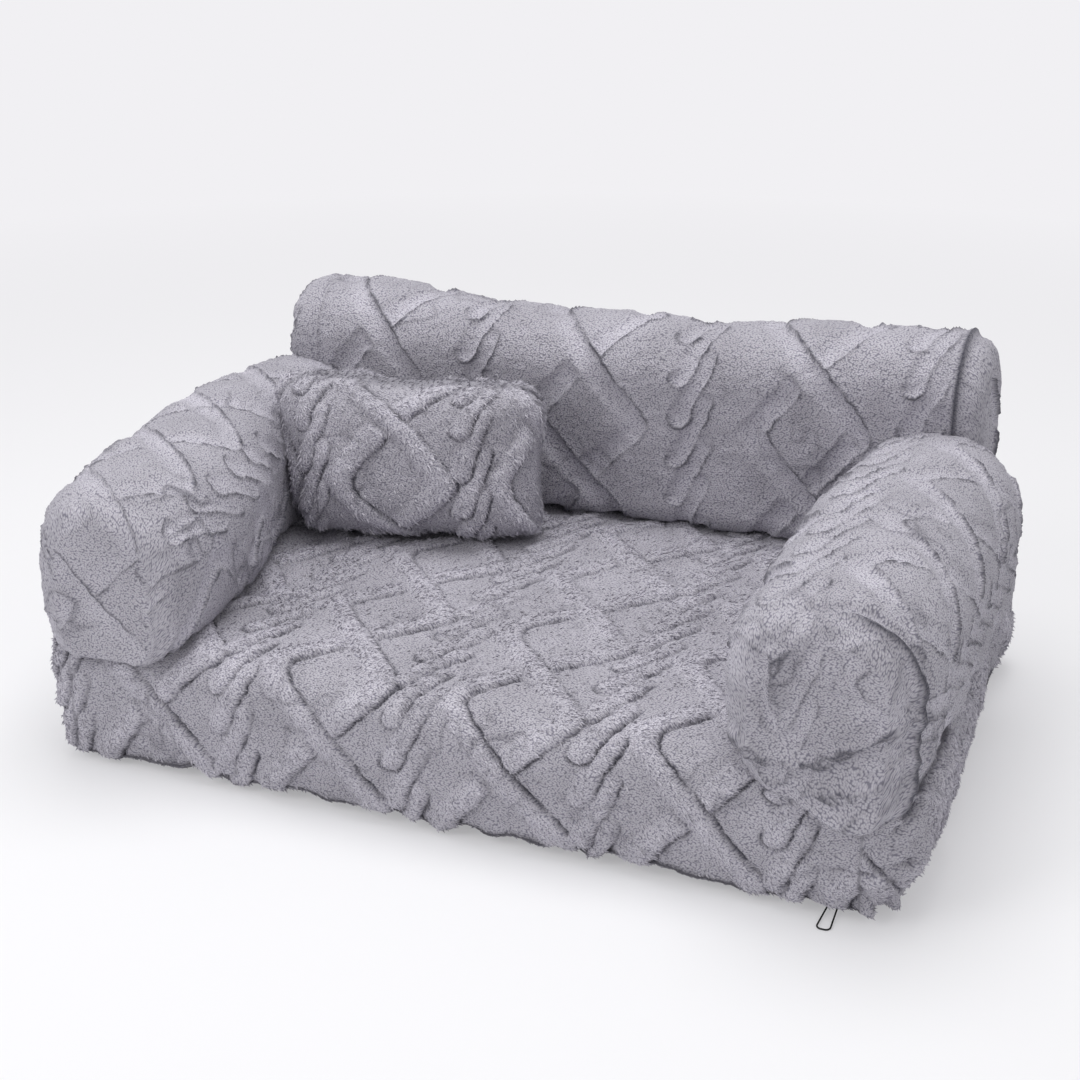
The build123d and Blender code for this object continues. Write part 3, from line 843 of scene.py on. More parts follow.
@dataclass(frozen=True)
class ClothFinish:
    """Plain-woven polyester cloth: crossed threads that catch the light where they lie on top.

    The threads are drawn coarser than real ones, so that they show. A coating leaves them duller.
    """

    name: str
    dark: str
    light: str
    thread_mm: float
    roughness: float
    bump_m: float = 0.0004

    def build(self) -> bpy.types.Material:
        """Make the material from two crossed sets of threads.

        Returns:
            The new material.
        """
        material, tree, shader = new_material(self.name)
        shader.inputs["Roughness"].default_value = self.roughness
        shader.inputs["Specular IOR Level"].default_value = 0.3
        where = add_node(tree, "ShaderNodeTexCoord").outputs["Object"]
        # At scale 1 the bands lie pi / 10 m apart, so this draws the threads thread_mm apart, within 2 %
        scale = 1 / (self.thread_mm * MM) / math.pi
        across, along = (
            add_node(
                tree,
                "ShaderNodeTexWave",
                {"bands_direction": direction, "in:Scale": scale, "in:Distortion": 0.6, "in:Detail": 1.0},
                {"Vector": where},
            ).outputs["Fac"]
            for direction in ("X", "Y")
        )
        weave = add_node(tree, "ShaderNodeMath", {"operation": "MULTIPLY"}, {0: across, 1: along}).outputs[0]
        tone = add_node(tree, "ShaderNodeValToRGB", {}, {"Fac": weave})
        tone.color_ramp.elements[0].color = linear(self.dark)
        tone.color_ramp.elements[1].color = linear(self.light)
        tree.links.new(tone.outputs["Color"], shader.inputs["Base Color"])
        bump = add_node(
            tree, "ShaderNodeBump", {"in:Strength": 0.4, "in:Distance": self.bump_m}, {"Height": weave}
        )
        tree.links.new(bump.outputs["Normal"], shader.inputs["Normal"])
        return material


@dataclass(frozen=True)
class HardFinish:
    """Moulded acetal or die-cast zinc under enamel: smooth, with patches rubbed duller in use."""

    name: str
    colour: str
    worn: str
    metallic: float
    roughness: float
    patches_per_metre: float = 350.0

    def build(self) -> bpy.types.Material:
        """Make the material with a patchy gloss and a faintly worn tone.

        Returns:
            The new material.
        """
        material, tree, shader = new_material(self.name)
        shader.inputs["Metallic"].default_value = self.metallic
        where = add_node(tree, "ShaderNodeTexCoord").outputs["Object"]
        patches = add_node(
            tree,
            "ShaderNodeTexNoise",
            {"in:Scale": self.patches_per_metre, "in:Detail": 3.0},
            {"Vector": where},
        ).outputs["Fac"]
        tone = add_node(tree, "ShaderNodeValToRGB", {}, {"Fac": patches})
        plain, worn = tone.color_ramp.elements
        plain.position = 0.45
        plain.color = linear(self.colour)
        worn.position = 0.8
        worn.color = linear(self.worn)
        tree.links.new(tone.outputs["Color"], shader.inputs["Base Color"])
        gloss = add_node(
            tree,
            "ShaderNodeMapRange",
            {"in:To Min": self.roughness - 0.08, "in:To Max": self.roughness + 0.1},
            {"Value": patches},
        ).outputs["Result"]
        tree.links.new(gloss, shader.inputs["Roughness"])
        return material


class Finish(Enum):
    """The finishes that the sofa uses."""

    PLUSH = PlushFinish()
    # Cloth with a grip coating, dull and nearly black
    UNDERSIDE = ClothFinish("black_nonslip_cloth", "#0E0E10", "#26262A", thread_mm=1.4, roughness=0.85)
    # Tight narrow weave, smoother than the cloth beside it
    TAPE = ClothFinish("woven_polyester_tape", "#0C0C0E", "#202024", thread_mm=0.8, roughness=0.7)
    # Injection-moulded, so that the teeth have an even satin gloss
    TEETH = HardFinish("moulded_acetal", "#121214", "#1E1E22", metallic=0.0, roughness=0.35)
    # Enamel over die-cast metal, which gives a deeper shine with paler rubbed patches
    METAL = HardFinish("black_enamelled_zinc", "#101012", "#2A2A2E", metallic=0.6, roughness=0.38)


MADE: dict[Finish, bpy.types.Material] = {}


def finish_material(finish: Finish) -> bpy.types.Material:
    """Give the material of a finish, which is built once.

    Args:
        finish: The finish.

    Returns:
        Its material.
    """
    if finish not in MADE:
        MADE[finish] = finish.value.build()
    return MADE[finish]


# Pile tufts


@dataclass
class PileTufts:
    """Short locks of pile that stand on a plush piece."""

    pitch: float = 3.4
    length: float = 4.0
    width: float = 2.1
    lean: float = 1.5
    comb: tuple[float, float, float] = (1.0, -0.35, -0.25)
    seed: int = 5
    sway: float = 2.4
    sway_scale: float = 38.0
    astray: float = 0.3
    least_size: float = 0.6
    most_size: float = 1.25
    grow_attribute: str = "tuft"

    def tree(self) -> bpy.types.NodeTree:
        """Build the node group that scatters closed three-sided locks over a mesh.

        Returns:
            The node group, with the pile's sizes as its inputs.
        """
        group = bpy.data.node_groups.new("pile_tufts", "GeometryNodeTree")
        face = group.interface
        face.new_socket("Geometry", in_out="INPUT", socket_type="NodeSocketGeometry")
        for name in ("Density", "Length", "Width", "Lean"):
            face.new_socket(name, in_out="INPUT", socket_type="NodeSocketFloat")
        face.new_socket("Comb", in_out="INPUT", socket_type="NodeSocketVector")
        face.new_socket("Seed", in_out="INPUT", socket_type="NodeSocketInt")
        face.new_socket("Material", in_out="INPUT", socket_type="NodeSocketMaterial")
        face.new_socket("Geometry", in_out="OUTPUT", socket_type="NodeSocketGeometry")
        entry = add_node(group, "NodeGroupInput").outputs
        tuft = add_node(
            group, "GeometryNodeInputNamedAttribute", {"data_type": "FLOAT", "in:Name": self.grow_attribute}
        ).outputs["Attribute"]
        density = add_node(
            group, "ShaderNodeMath", {"operation": "MULTIPLY"}, {0: entry["Density"], 1: tuft}
        ).outputs[0]
        scatter = add_node(
            group,
            "GeometryNodeDistributePointsOnFaces",
            {"distribute_method": "RANDOM"},
            {"Mesh": entry["Geometry"], "Density": density, "Seed": entry["Seed"]},
        )
        place = add_node(group, "GeometryNodeInputPosition").outputs["Position"]
        stand = add_node(
            group,
            "GeometryNodeInstanceOnPoints",
            {},
            {
                "Points": scatter.outputs["Points"],
                "Instance": self.lock(group, entry, place),
                "Rotation": self.turn(group, entry, place, scatter.outputs["Normal"]),
                "Scale": self.size(group),
            },
        ).outputs["Instances"]
        real = add_node(group, "GeometryNodeRealizeInstances", {}, {"Geometry": stand}).outputs["Geometry"]
        dressed = add_node(
            group, "GeometryNodeSetMaterial", {}, {"Geometry": real, "Material": entry["Material"]}
        ).outputs["Geometry"]
        add_node(group, "NodeGroupOutput", {}, {0: dressed})
        return group

    def lock(
        self,
        group: bpy.types.NodeTree,
        entry: bpy.types.NodeOutputs,
        place: bpy.types.NodeSocket,
    ) -> bpy.types.NodeSocket:
        """Make one three-sided lock that knows its own height.

        Args:
            group: Node group of the pile.
            entry: The group's inputs.
            place: Position of each point.

        Returns:
            Socket with the lock's mesh.
        """
        cone = add_node(
            group,
            "GeometryNodeMeshCone",
            {"fill_type": "NGON", "in:Vertices": 3, "in:Radius Top": 0.0},
            {"Radius Bottom": entry["Width"], "Depth": entry["Length"]},
        ).outputs["Mesh"]
        upward = add_node(group, "ShaderNodeSeparateXYZ", {}, {0: place}).outputs["Z"]
        share = add_node(
            group, "ShaderNodeMath", {"operation": "DIVIDE"}, {0: upward, 1: entry["Length"]}
        ).outputs[0]
        return add_node(
            group,
            "GeometryNodeStoreNamedAttribute",
            {"data_type": "FLOAT", "domain": "POINT", "in:Name": "lock"},
            {"Geometry": cone, "Value": share},
        ).outputs["Geometry"]

    def turn(
        self,
        group: bpy.types.NodeTree,
        entry: bpy.types.NodeOutputs,
        place: bpy.types.NodeSocket,
        normal: bpy.types.NodeSocket,
    ) -> bpy.types.NodeSocket:
        """Comb the locks flat along the cloth, swaying in patches and each a little astray.

        Args:
            group: Node group of the pile.
            entry: The group's inputs.
            place: Position of each point.
            normal: Outward direction of the cloth.

        Returns:
            Socket with each lock's rotation.
        """
        drift = add_node(
            group,
            "ShaderNodeTexNoise",
            {"in:Scale": self.sway_scale, "in:Detail": 1.5},
            {"Vector": place},
        ).outputs["Color"]
        centred = add_node(
            group, "ShaderNodeVectorMath", {"operation": "SUBTRACT", "in:1": (0.5, 0.5, 0.5)}, {0: drift}
        ).outputs["Vector"]
        swirl = add_node(
            group, "ShaderNodeVectorMath", {"operation": "SCALE", "in:Scale": self.sway}, {0: centred}
        ).outputs["Vector"]
        least = (-self.astray, -self.astray, -self.astray)
        most = (self.astray, self.astray, self.astray)
        fine = add_node(
            group, "FunctionNodeRandomValue", {"data_type": "FLOAT_VECTOR", "in:0": least, "in:1": most}
        ).outputs[0]
        stray = add_node(
            group, "ShaderNodeVectorMath", {"operation": "ADD"}, {0: swirl, 1: fine}
        ).outputs["Vector"]
        wanted = add_node(
            group, "ShaderNodeVectorMath", {"operation": "ADD"}, {0: entry["Comb"], 1: stray}
        ).outputs["Vector"]
        upright = add_node(
            group, "ShaderNodeVectorMath", {"operation": "PROJECT"}, {0: wanted, 1: normal}
        ).outputs["Vector"]
        flat = add_node(
            group, "ShaderNodeVectorMath", {"operation": "SUBTRACT"}, {0: wanted, 1: upright}
        ).outputs["Vector"]
        along = add_node(
            group, "ShaderNodeVectorMath", {"operation": "NORMALIZE"}, {0: flat}
        ).outputs["Vector"]
        laid = add_node(
            group, "ShaderNodeVectorMath", {"operation": "SCALE"}, {0: along, "Scale": entry["Lean"]}
        ).outputs["Vector"]
        aim = add_node(
            group, "ShaderNodeVectorMath", {"operation": "ADD"}, {0: normal, 1: laid}
        ).outputs["Vector"]
        return add_node(
            group, "FunctionNodeAlignRotationToVector", {"axis": "Z"}, {"Vector": aim}
        ).outputs["Rotation"]

    def size(self, group: bpy.types.NodeTree) -> bpy.types.NodeSocket:
        """Vary the size from lock to lock.

        Args:
            group: Node group of the pile.

        Returns:
            Socket with each lock's scale.
        """
        return add_node(
            group,
            "FunctionNodeRandomValue",
            {"data_type": "FLOAT", "in:2": self.least_size, "in:3": self.most_size},
        ).outputs[1]

    def grow(self, skin: bpy.types.Object, name: str, material: bpy.types.Material) -> bpy.types.Object:
        """Grow the locks on a piece and bake them to a plain mesh.

        Args:
            skin: Plush piece that carries a growth attribute.
            name: Name of the new object.
            material: Finish of the locks.

        Returns:
            The object that holds all the locks.
        """
        group = bpy.data.node_groups.get("pile_tufts") or self.tree()
        modifier = skin.modifiers.new("pile", "NODES")
        modifier.node_group = group
        items = group.interface.items_tree
        sockets = {item.name: item.identifier for item in items if item.in_out == "INPUT"}
        modifier[sockets["Density"]] = 1.0 / (self.pitch * MM) ** 2
        modifier[sockets["Length"]] = self.length * MM
        modifier[sockets["Width"]] = self.width * MM / 2
        modifier[sockets["Lean"]] = self.lean
        modifier[sockets["Comb"]] = self.comb
        modifier[sockets["Seed"]] = self.seed
        modifier[sockets["Material"]] = material
        graph = bpy.context.evaluated_depsgraph_get()
        mesh = bpy.data.meshes.new_from_object(skin.evaluated_get(graph))
        skin.modifiers.remove(modifier)
        mesh.name = name
        locks = bpy.data.objects.new(name, mesh)
        bpy.context.scene.collection.objects.link(locks)
        return locks


# Sub-assemblies


@dataclass
class SoftPiece:
    """What every stuffed piece of the sofa shares: relief, wrinkles, seams and pile."""

    relief: CableRelief = field(default_factory=CableRelief)
    wrinkle: SmoothNoise = field(default_factory=lambda: SmoothNoise(11))
    grain: SmoothNoise = field(default_factory=lambda: SmoothNoise(23))
    wrinkle_depth: float = 3.0
    grain_depth: float = 0.9
    # The shaped form lies this deep under the CAD surface, so that the relief comes up to it
    sink: float = 6.5
    # Seams, sunk in and painted dark as shade, with a roll of cloth beside them
    seam_depth: float = 3.0
    seam_width: float = 3.0
    seam_fade: float = 7.0
    seam_groove_and_shade: float = 1.0
    pattern_at_seam: float = 0.35
    roll: float = 0.0
    roll_at: float = 9.0
    roll_width: float = 5.0
    # Crumples, thin folds that wander over the cloth in patches, sunk in and painted dark as shade
    fold_depth: float = 3.4
    fold_width: float = 0.09
    crumple: float = 0.3
    # Set folds, deep ones at chosen places and painted dark as shade, with the cloth raised beside them
    folds: tuple[tuple[tuple[float, float], ...], ...] = ()
    folds_before: float = -262.0
    set_depth: float = 4.5
    set_width: float = 4.0
    set_line: float = 2.2
    set_sway: float = 1.5
    set_fold_shade: float = 0.85
    set_least: float = 0.2
    set_rise: float = 3.0
    set_rise_at: float = 11.0
    set_rise_width: float = 7.0
    # Share of the full pile that grows on the ground and on the raised bands, and a fringe at the hem
    bare_share: float = 0.1
    full_share: float = 0.75
    fringe_height: float = 16.0

    PATCHES: ClassVar[tuple[NoiseLayer, ...]] = (
        NoiseLayer(0.7, 26.0, 300.0),
        NoiseLayer(0.5, 9.0, 340.0, fine=True),
    )
    WAVER: ClassVar[tuple[NoiseLayer, ...]] = (
        NoiseLayer(1.9, 7.0, 90.0, fine=True),
        NoiseLayer(3.0, 40.0, 150.0),
    )
    WRINKLES: ClassVar[tuple[NoiseLayer, ...]] = (NoiseLayer(1.0, 95.0), NoiseLayer(0.5, 46.0, 77.0))
    GRAIN: ClassVar[tuple[NoiseLayer, ...]] = (
        NoiseLayer(1.0, 4.6, fine=True),
        NoiseLayer(0.6, 9.0, 31.0, fine=True),
    )
    BENDS: ClassVar[tuple[NoiseLayer, ...]] = (NoiseLayer(1.0, 38.0, 210.0), NoiseLayer(0.5, 17.0, 410.0))
    CRUMPLED: ClassVar[tuple[NoiseLayer, ...]] = (NoiseLayer(1.0, 70.0, 520.0),)

    def uneven(self, points: np.ndarray, layers: tuple[NoiseLayer, ...]) -> np.ndarray:
        """Add up layers of noise.

        Args:
            points: Rows of three coordinates in millimetres.
            layers: The layers.

        Returns:
            One value for each row.
        """
        total = np.zeros(len(points))
        for layer in layers:
            noise = self.grain if layer.fine else self.wrinkle
            total += layer.share * noise.at(points + layer.shift_mm, layer.bump_mm)
        return total

    def fold_distance(self, points: np.ndarray) -> np.ndarray:
        """Distance from the nearest set fold, seen from the front.

        Args:
            points: Rows of three coordinates in millimetres.

        Returns:
            One distance for each row, large away from the front.
        """
        best = np.full(len(points), FAR_MM)
        place = points[:, [0, 2]]
        for line in self.folds:
            for start, end in zip(line, line[1:]):
                step = np.subtract(end, start)
                share = np.clip((place - start) @ step / (step @ step), 0.0, 1.0)
                best = np.minimum(best, np.linalg.norm(place - start - share[:, None] * step, axis=1))
        return np.where(points[:, 1] < self.folds_before, best, FAR_MM)

    def dress(
        self,
        name: str,
        surface: Surface,
        body: str,
        nodes: list[str],
        fill: float,
        tufts: PileTufts,
        press: np.ndarray | float = 1.0,
    ) -> None:
        """Press the cloth's relief into a surface and make its objects.

        Args:
            name: Object name.
            surface: Closed surface in millimetres.
            body: CAD body that the piece rides on.
            nodes: CAD nodes that it stands for.
            fill: How tightly it is stuffed; not used.
            tufts: Pile that grows on it.
            press: How clearly the pattern shows at each point.
        """
        normals = surface.normals()
        points = surface.points
        patch = self.uneven(points, self.PATCHES)
        waver = self.uneven(points, self.WAVER)
        height, crease = self.relief.at(surface.cloth[:, 0], surface.cloth[:, 1], patch, waver)
        height = self.relief.height * self.relief.ground * (1 - press) + height * press
        crease = crease * press
        near = hill(surface.seam, 0.0, self.seam_width) * self.seam_groove_and_shade
        away = self.fold_distance(points) + self.set_sway * waver
        broken = self.set_least + (1 - self.set_least) * smooth_step(-0.35, 0.35, patch)
        set_fold = hill(away, 0.0, self.set_line) * broken
        open_cloth = smooth_step(0.0, self.seam_fade, surface.seam)
        free = 1 - surface.still
        crumpled = smooth_step(-0.05, 0.4, self.uneven(points, self.CRUMPLED))
        fold = self.crumple * crumpled * hill(self.uneven(points, self.BENDS), 0.0, self.fold_width) * press
        shown = self.pattern_at_seam + (1 - self.pattern_at_seam) * open_cloth
        move = height * shown - self.seam_depth * near - self.fold_depth * fold
        move += self.uneven(points, self.WRINKLES) * self.wrinkle_depth
        move += self.uneven(points, self.GRAIN) * self.grain_depth
        move += self.roll * hill(surface.seam, self.roll_at, self.roll_width)
        move += self.set_rise * hill(away, self.set_rise_at, self.set_rise_width)
        move -= self.set_depth * broken * hill(away, 0.0, self.set_width)
        surface.points += normals * ((move - self.sink) * free)[:, None]
        # The crease share marks where the material paints shade: the relief's creases, the seams, the
        # crumples and the set folds
        crease = np.maximum.reduce([crease * open_cloth, near, fold, self.set_fold_shade * set_fold]) * free
        # The pile share also sets the painted shade down in the relief and the painted light on its bands
        pile = np.clip(height / self.relief.height, 0.0, 1.2)
        piece = make_object(name, surface, crease, pile)
        piece.data.materials.append(finish_material(Finish.PLUSH))
        grow = self.bare_share + (self.full_share - self.bare_share) * smooth_step(0.3, 0.8, pile)
        grow *= np.clip(1.0 - 1.2 * crease, 0.0, 1.0)
        grow = np.maximum(grow, hill(surface.points[:, 2], 0.0, self.fringe_height)) * free
        layer = piece.data.attributes.new(tufts.grow_attribute, "FLOAT", "POINT")
        layer.data.foreach_set("value", grow.astype(np.float32))
        locks = tufts.grow(piece, name + "_pile", finish_material(Finish.PLUSH))
        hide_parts(*nodes)
        for thing in (piece, locks):
            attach(thing, body)
        log.info("%s: %d faces, %d pile faces", name, len(piece.data.polygons), len(locks.data.polygons))


@dataclass
class SeatCushion(SoftPiece):
    """Foam seat: one cloth over the top and down the front, with side and rear panels."""

    relief: CableRelief = CableRelief(middle_u=58.0, middle_v=-273.5)
    half_width: float = 441.0
    half_depth: float = 298.0
    top: float = 143.0
    bottom: float = 8.0
    edge_radius: float = 42.0
    hem_turn: float = 40.0
    side_seam: float = 396.0
    rear_seam: float = 264.0
    seam_height: float = 126.0
    crown: float = 9.0
    crown_half_width: float = 285.0
    crown_half_depth: float = 225.0
    crown_middle: float = -40.0
    tuck_height: float = 75.0
    side_tuck: float = 18.0
    front_tuck: float = 8.0
    rear_tuck: float = 12.0
    rear_narrowing: float = 0.012
    pinch: float = 20.0
    pinch_at: float = 150.0
    pinch_length: float = 75.0
    swell: float = 7.0
    swell_at: float = -190.0
    swell_length: float = 90.0
    left_draw: float = 14.0
    right_draw: float = -2.0
    corner_draw: float = 10.0
    corner_lift: float = 5.0
    hem_height: float = 22.0
    hem_swing: float = 4.5
    hem_drop: float = 1.0
    wall_cloth_shift: float = 40.0
    spacing: float = 2.1

    def build(self) -> None:
        """Make the seat cushion and its pile."""
        surface, away = seat_surface(
            half_width=self.half_width,
            half_depth=self.half_depth,
            top=self.top,
            bottom=self.bottom,
            edge_radius=self.edge_radius,
            hem_turn=self.hem_turn,
            spacing=self.spacing,
        )
        flat = surface.points.copy()
        self.shape(surface.points, flat, away)
        is_side = (np.abs(flat[:, 0]) > self.side_seam) & (flat[:, 2] < self.seam_height)
        surface.cloth = self.lay_cloth(flat, away, is_side)
        surface.seam = self.seam_distance(flat, is_side)
        surface.still = np.where(away[:, 2] < -0.5, 1.0, 0.0)
        corner = np.array([index for face in surface.faces for index in face])
        surface.corner_cloth = surface.cloth[corner]
        nodes = ["seat_and_front_panel", "left_side_panel", "right_side_panel", "rear_panel", "seat_foam"]
        press = 1 - 0.3 * smooth_step(-230.0, -120.0, flat[:, 1]) * (away[:, 2] > 0.9)
        self.dress("seat_cover", surface, "sofa", nodes, 0.9, PileTufts(seed=3), press)

    def shape(self, p: np.ndarray, flat: np.ndarray, away: np.ndarray) -> None:
        """Tuck the foot in, draw the walls in and out, and raise the crown.

        Args:
            p: Points, which are moved.
            flat: The same points of the plain slab.
            away: Outward direction of the slab at each point.
        """
        flat_x, flat_y, flat_z = flat.T
        tuck = np.clip((self.bottom - flat_z + self.tuck_height) / self.tuck_height, 0.0, 1.0) ** 2.2
        p[:, 0] -= away[:, 0] * self.side_tuck * tuck
        p[:, 1] -= away[:, 1] * np.where(flat_y < 0, self.front_tuck, self.rear_tuck) * tuck
        rear = np.clip((flat_y + self.half_depth) / (2 * self.half_depth), 0.0, 1.0)
        p[:, 0] *= 1 - self.rear_narrowing * rear
        side = smooth_step(0.4, 1.0, np.abs(away[:, 0]))
        pinch = hill(flat_y, self.pinch_at, self.pinch_length) * self.pinch
        swell = hill(flat_y, self.swell_at, self.swell_length) * self.swell
        drawn = np.where(flat_x > 0, self.right_draw, self.left_draw)
        drawn = drawn * smooth_step(self.top - 8.0, self.top - 40.0, flat_z)
        p[:, 0] += np.sign(flat_x) * side * ((swell - pinch) * (1 - tuck) - drawn)
        corner = smooth_step(0.35, 0.9, -away[:, 1]) + smooth_step(0.35, 0.9, away[:, 0])
        corner = smooth_step(0.9, 1.6, corner) * (flat_x > 0) * (flat_y < 0) * tuck
        p[:, 0] -= self.corner_draw * corner
        p[:, 1] += self.corner_draw * corner
        ragged = self.grain.at(np.column_stack([p[:, 0], p[:, 1], np.zeros(len(p))]), 24.0)
        hem = np.clip((self.bottom + self.hem_height - flat_z) / self.hem_height, 0.0, 1.0)
        hem = hem * (away[:, 2] > -0.5)
        p[:, 2] += hem * (self.hem_swing * ragged - self.hem_drop + self.corner_lift * corner)
        across = np.clip(1 - (flat_x / self.crown_half_width) ** 2, 0.0, 1.0)
        along = np.clip(1 - ((flat_y - self.crown_middle) / self.crown_half_depth) ** 2, 0.0, 1.0)
        p[:, 2] += self.crown * (across * along) ** 0.7 * np.clip(away[:, 2], 0.0, 1.0)

    def lay_cloth(self, flat: np.ndarray, away: np.ndarray, is_side: np.ndarray) -> np.ndarray:
        """Lay one cloth over the top and down the front, and other cloths round the side and rear walls.

        Args:
            flat: Points of the plain slab.
            away: Outward direction of the slab at each point.
            is_side: Which points lie on the side panels.

        Returns:
            Rows of two cloth coordinates in millimetres.
        """
        flat_x, flat_y, flat_z = flat.T
        theta = np.arctan2(-away[:, 1], np.maximum(away[:, 2], 1e-6))
        fall = self.half_depth - self.edge_radius
        quarter = self.edge_radius * np.pi / 2
        straight = np.clip(self.top - self.edge_radius - flat_z, 0.0, None)
        on_wall = flat_z < self.top - self.edge_radius
        front_v = np.where(on_wall, -fall - quarter - straight, -fall - self.edge_radius * theta)
        v = np.where(flat_y > -fall, flat_y, front_v)
        on_front = (away[:, 1] < -0.35) & (flat_y < -fall * 0.99)
        v = np.where(on_front | (away[:, 2] > 0.02), v, flat_z)
        front_turn = self.edge_radius * np.arctan2(np.abs(away[:, 0]), np.maximum(-away[:, 1], 0.0))
        rear_turn = self.edge_radius * np.arctan2(np.maximum(away[:, 1], 0.0), np.abs(away[:, 0]))
        run = np.minimum(np.abs(flat_x), self.half_width - self.edge_radius) + np.minimum(front_turn, quarter)
        run += np.clip(flat_y + fall, 0.0, 2 * fall) + rear_turn
        u = np.where(is_side, np.sign(flat_x) * run, flat_x)
        is_rear = (flat_y > self.rear_seam) & (flat_z < self.seam_height) & ~is_side
        v = np.where(is_side | is_rear, flat_z + self.wall_cloth_shift, v)
        return np.stack([u, v], axis=1)

    def seam_distance(self, flat: np.ndarray, is_side: np.ndarray) -> np.ndarray:
        """Distance of each point from the upright seams, the level seam and the hem.

        Args:
            flat: Points of the plain slab.
            is_side: Which points lie on the side panels.

        Returns:
            One distance for each point, a little longer where a seam shows less.
        """
        flat_x, flat_y, flat_z = flat.T
        upright = np.where(flat_z < self.seam_height, np.abs(np.abs(flat_x) - self.side_seam), FAR_MM)
        by_panel = is_side | (np.abs(flat_x) > self.side_seam - 6) | (flat_y > self.rear_seam - 6)
        level = np.where(by_panel, np.abs(flat_z - self.seam_height), FAR_MM)
        hem = np.abs(flat_z - self.bottom)
        return np.minimum.reduce([upright + 3.5, level + 2.0, hem + 2.0])


@dataclass
class BolsterArm(SoftPiece):
    """Stuffed arm: a wrap round its length and a panel on its front end."""

    side: int = 1
    middle: float = 360.0
    width: float = 194.0
    foot: float = 124.0
    top: float = 298.0
    front: float = -301.0
    rear: float = 181.0
    bed: float = 142.3
    seam_ring: float = -283.0
    dent: float = 0.0
    tuck: float = 0.0
    seam_shows: float = 0.0
    seam_hides: float = 12.0
    seam_waver: float = 4.0
    seam_waver_length: float = 30.0
    clearance: float = 3.0
    # A lip of cloth that hangs over the seat's front edge: its place from the front, up and across
    lip: float = 0.0
    lip_forward: float = 0.45
    lip_from_y: float = -258.0
    lip_to_y: float = -292.0
    lip_from_z: float = 172.0
    lip_to_z: float = 128.0
    lip_middle: float = 392.0
    lip_half_width: float = 52.0
    cap_calm: float = 0.75
    crumple: float = 0.45
    roll: float = 4.0
    rest_slope: float = 0.485
    rest_crest: float = -261.0
    ring_length: float = 600.0
    spacing: float = 2.2

    # Shares of the length from the front, the width, the height that the top lies lower, and the dent
    ROWS: ClassVar[np.ndarray] = np.array(
        [
            (0.0, 0.66, 0.17, 0.0),
            (0.012, 0.79, 0.1, 0.0),
            (0.037, 0.88, 0.065, 0.0),
            (0.07, 0.93, 0.04, 0.0),
            (0.17, 0.965, 0.015, 0.03),
            (0.31, 0.99, 0.0, 0.2),
            (0.45, 1.0, 0.0, 0.55),
            (0.59, 1.0, 0.0, 0.9),
            (0.73, 0.99, 0.01, 1.0),
            (0.87, 0.965, 0.035, 1.0),
            (1.0, 0.88, 0.08, 0.9),
        ]
    )

    def rings(self) -> np.ndarray:
        """Shape the stuffed form from front to rear.

        Returns:
            Rows of rings, closer together at the front edge.
        """
        shares = np.linspace(0.0, 1.0, int((self.rear - self.front) / self.spacing))
        shares = np.unique(np.concatenate([np.linspace(0, 0.02, 8), shares]))
        table = [smooth_curve(shares, self.ROWS[:, 0], self.ROWS[:, k]) for k in (1, 2, 3)]
        count = int(self.ring_length / self.spacing)
        rings = []
        for share, wide, lower, dented in zip(shares, *table):
            y = self.front + share * (self.rear - self.front)
            half = wide * self.width / 2
            inner = self.side * (self.middle - half + self.dent * dented)
            outer = self.side * (self.middle + half - self.tuck * max(0.0, 1 - share / 0.45) ** 2)
            top = self.top - lower * (self.top - self.foot)
            low, high = min(inner, outer), max(inner, outer)
            across = high - low
            inner_radius, outer_radius, top_radius = 0.34 * across, 0.2 * across, 0.42 * across
            feet = [inner_radius, outer_radius] if self.side > 0 else [outer_radius, inner_radius]
            corners = [(low, self.foot), (high, self.foot), (high, top), (low, top)]
            radii = feet + [top_radius, top_radius]
            ring = rounded_ring(corners, radii, count, ((low + high) / 2, self.foot))
            rings.append(np.column_stack([ring[:, 0], np.full(count, y), ring[:, 1]]))
        return np.array(rings)

    def build(self) -> None:
        """Make the arm and its pile."""
        stack = self.rings()
        surface = tube_surface(stack, cloth_run(stack, 1))
        p = surface.points
        drop = self.rest_slope * (p[:, 1] - self.rest_crest)
        level = np.where(p[:, 1] > self.rest_crest, self.bed, self.bed + drop)
        outward = self.side * (p[:, 0] - self.side * self.middle) / (self.width / 2)
        hidden = 1 - self.seam_shows * smooth_step(-0.35, 0.45, outward)
        waver = self.seam_waver * self.grain.at(p, self.seam_waver_length)
        surface.seam = np.abs(p[:, 1] - self.seam_ring + waver) + self.seam_hides * hidden
        wrap = stack.shape[0] * stack.shape[1]
        surface.cloth[:wrap] = np.column_stack([-surface.cloth[:wrap, 1], surface.cloth[:wrap, 0]])
        resting = smooth_step(6.0, 0.0, p[:, 2] - level)
        surface.still = np.where(p[:, 1] > self.rear - self.clearance, 1.0, resting * 0.9)
        p[:, 2] = np.maximum(p[:, 2], level + self.clearance)
        hang = smooth_step(self.lip_from_y, self.lip_to_y, p[:, 1])
        hang = hang * smooth_step(self.lip_from_z, self.lip_to_z, p[:, 2])
        hang *= hill(np.abs(p[:, 0]), self.lip_middle, self.lip_half_width)
        p[:, 2] -= self.lip * hang
        p[:, 1] -= self.lip_forward * self.lip * hang
        surface.still *= 1 - hang
        press = 1 - self.cap_calm * smooth_step(self.seam_ring + 25.0, self.seam_ring - 5.0, p[:, 1])
        name = "left_arm" if self.side < 0 else "right_arm"
        nodes = [name + part for part in ("_cover", "_front_panel", "_filling")]
        tufts = PileTufts(seed=7 + self.side, comb=(0.35 * self.side, -1.0, -0.5))
        self.dress(name, surface, "sofa", nodes, 0.8, tufts, press)


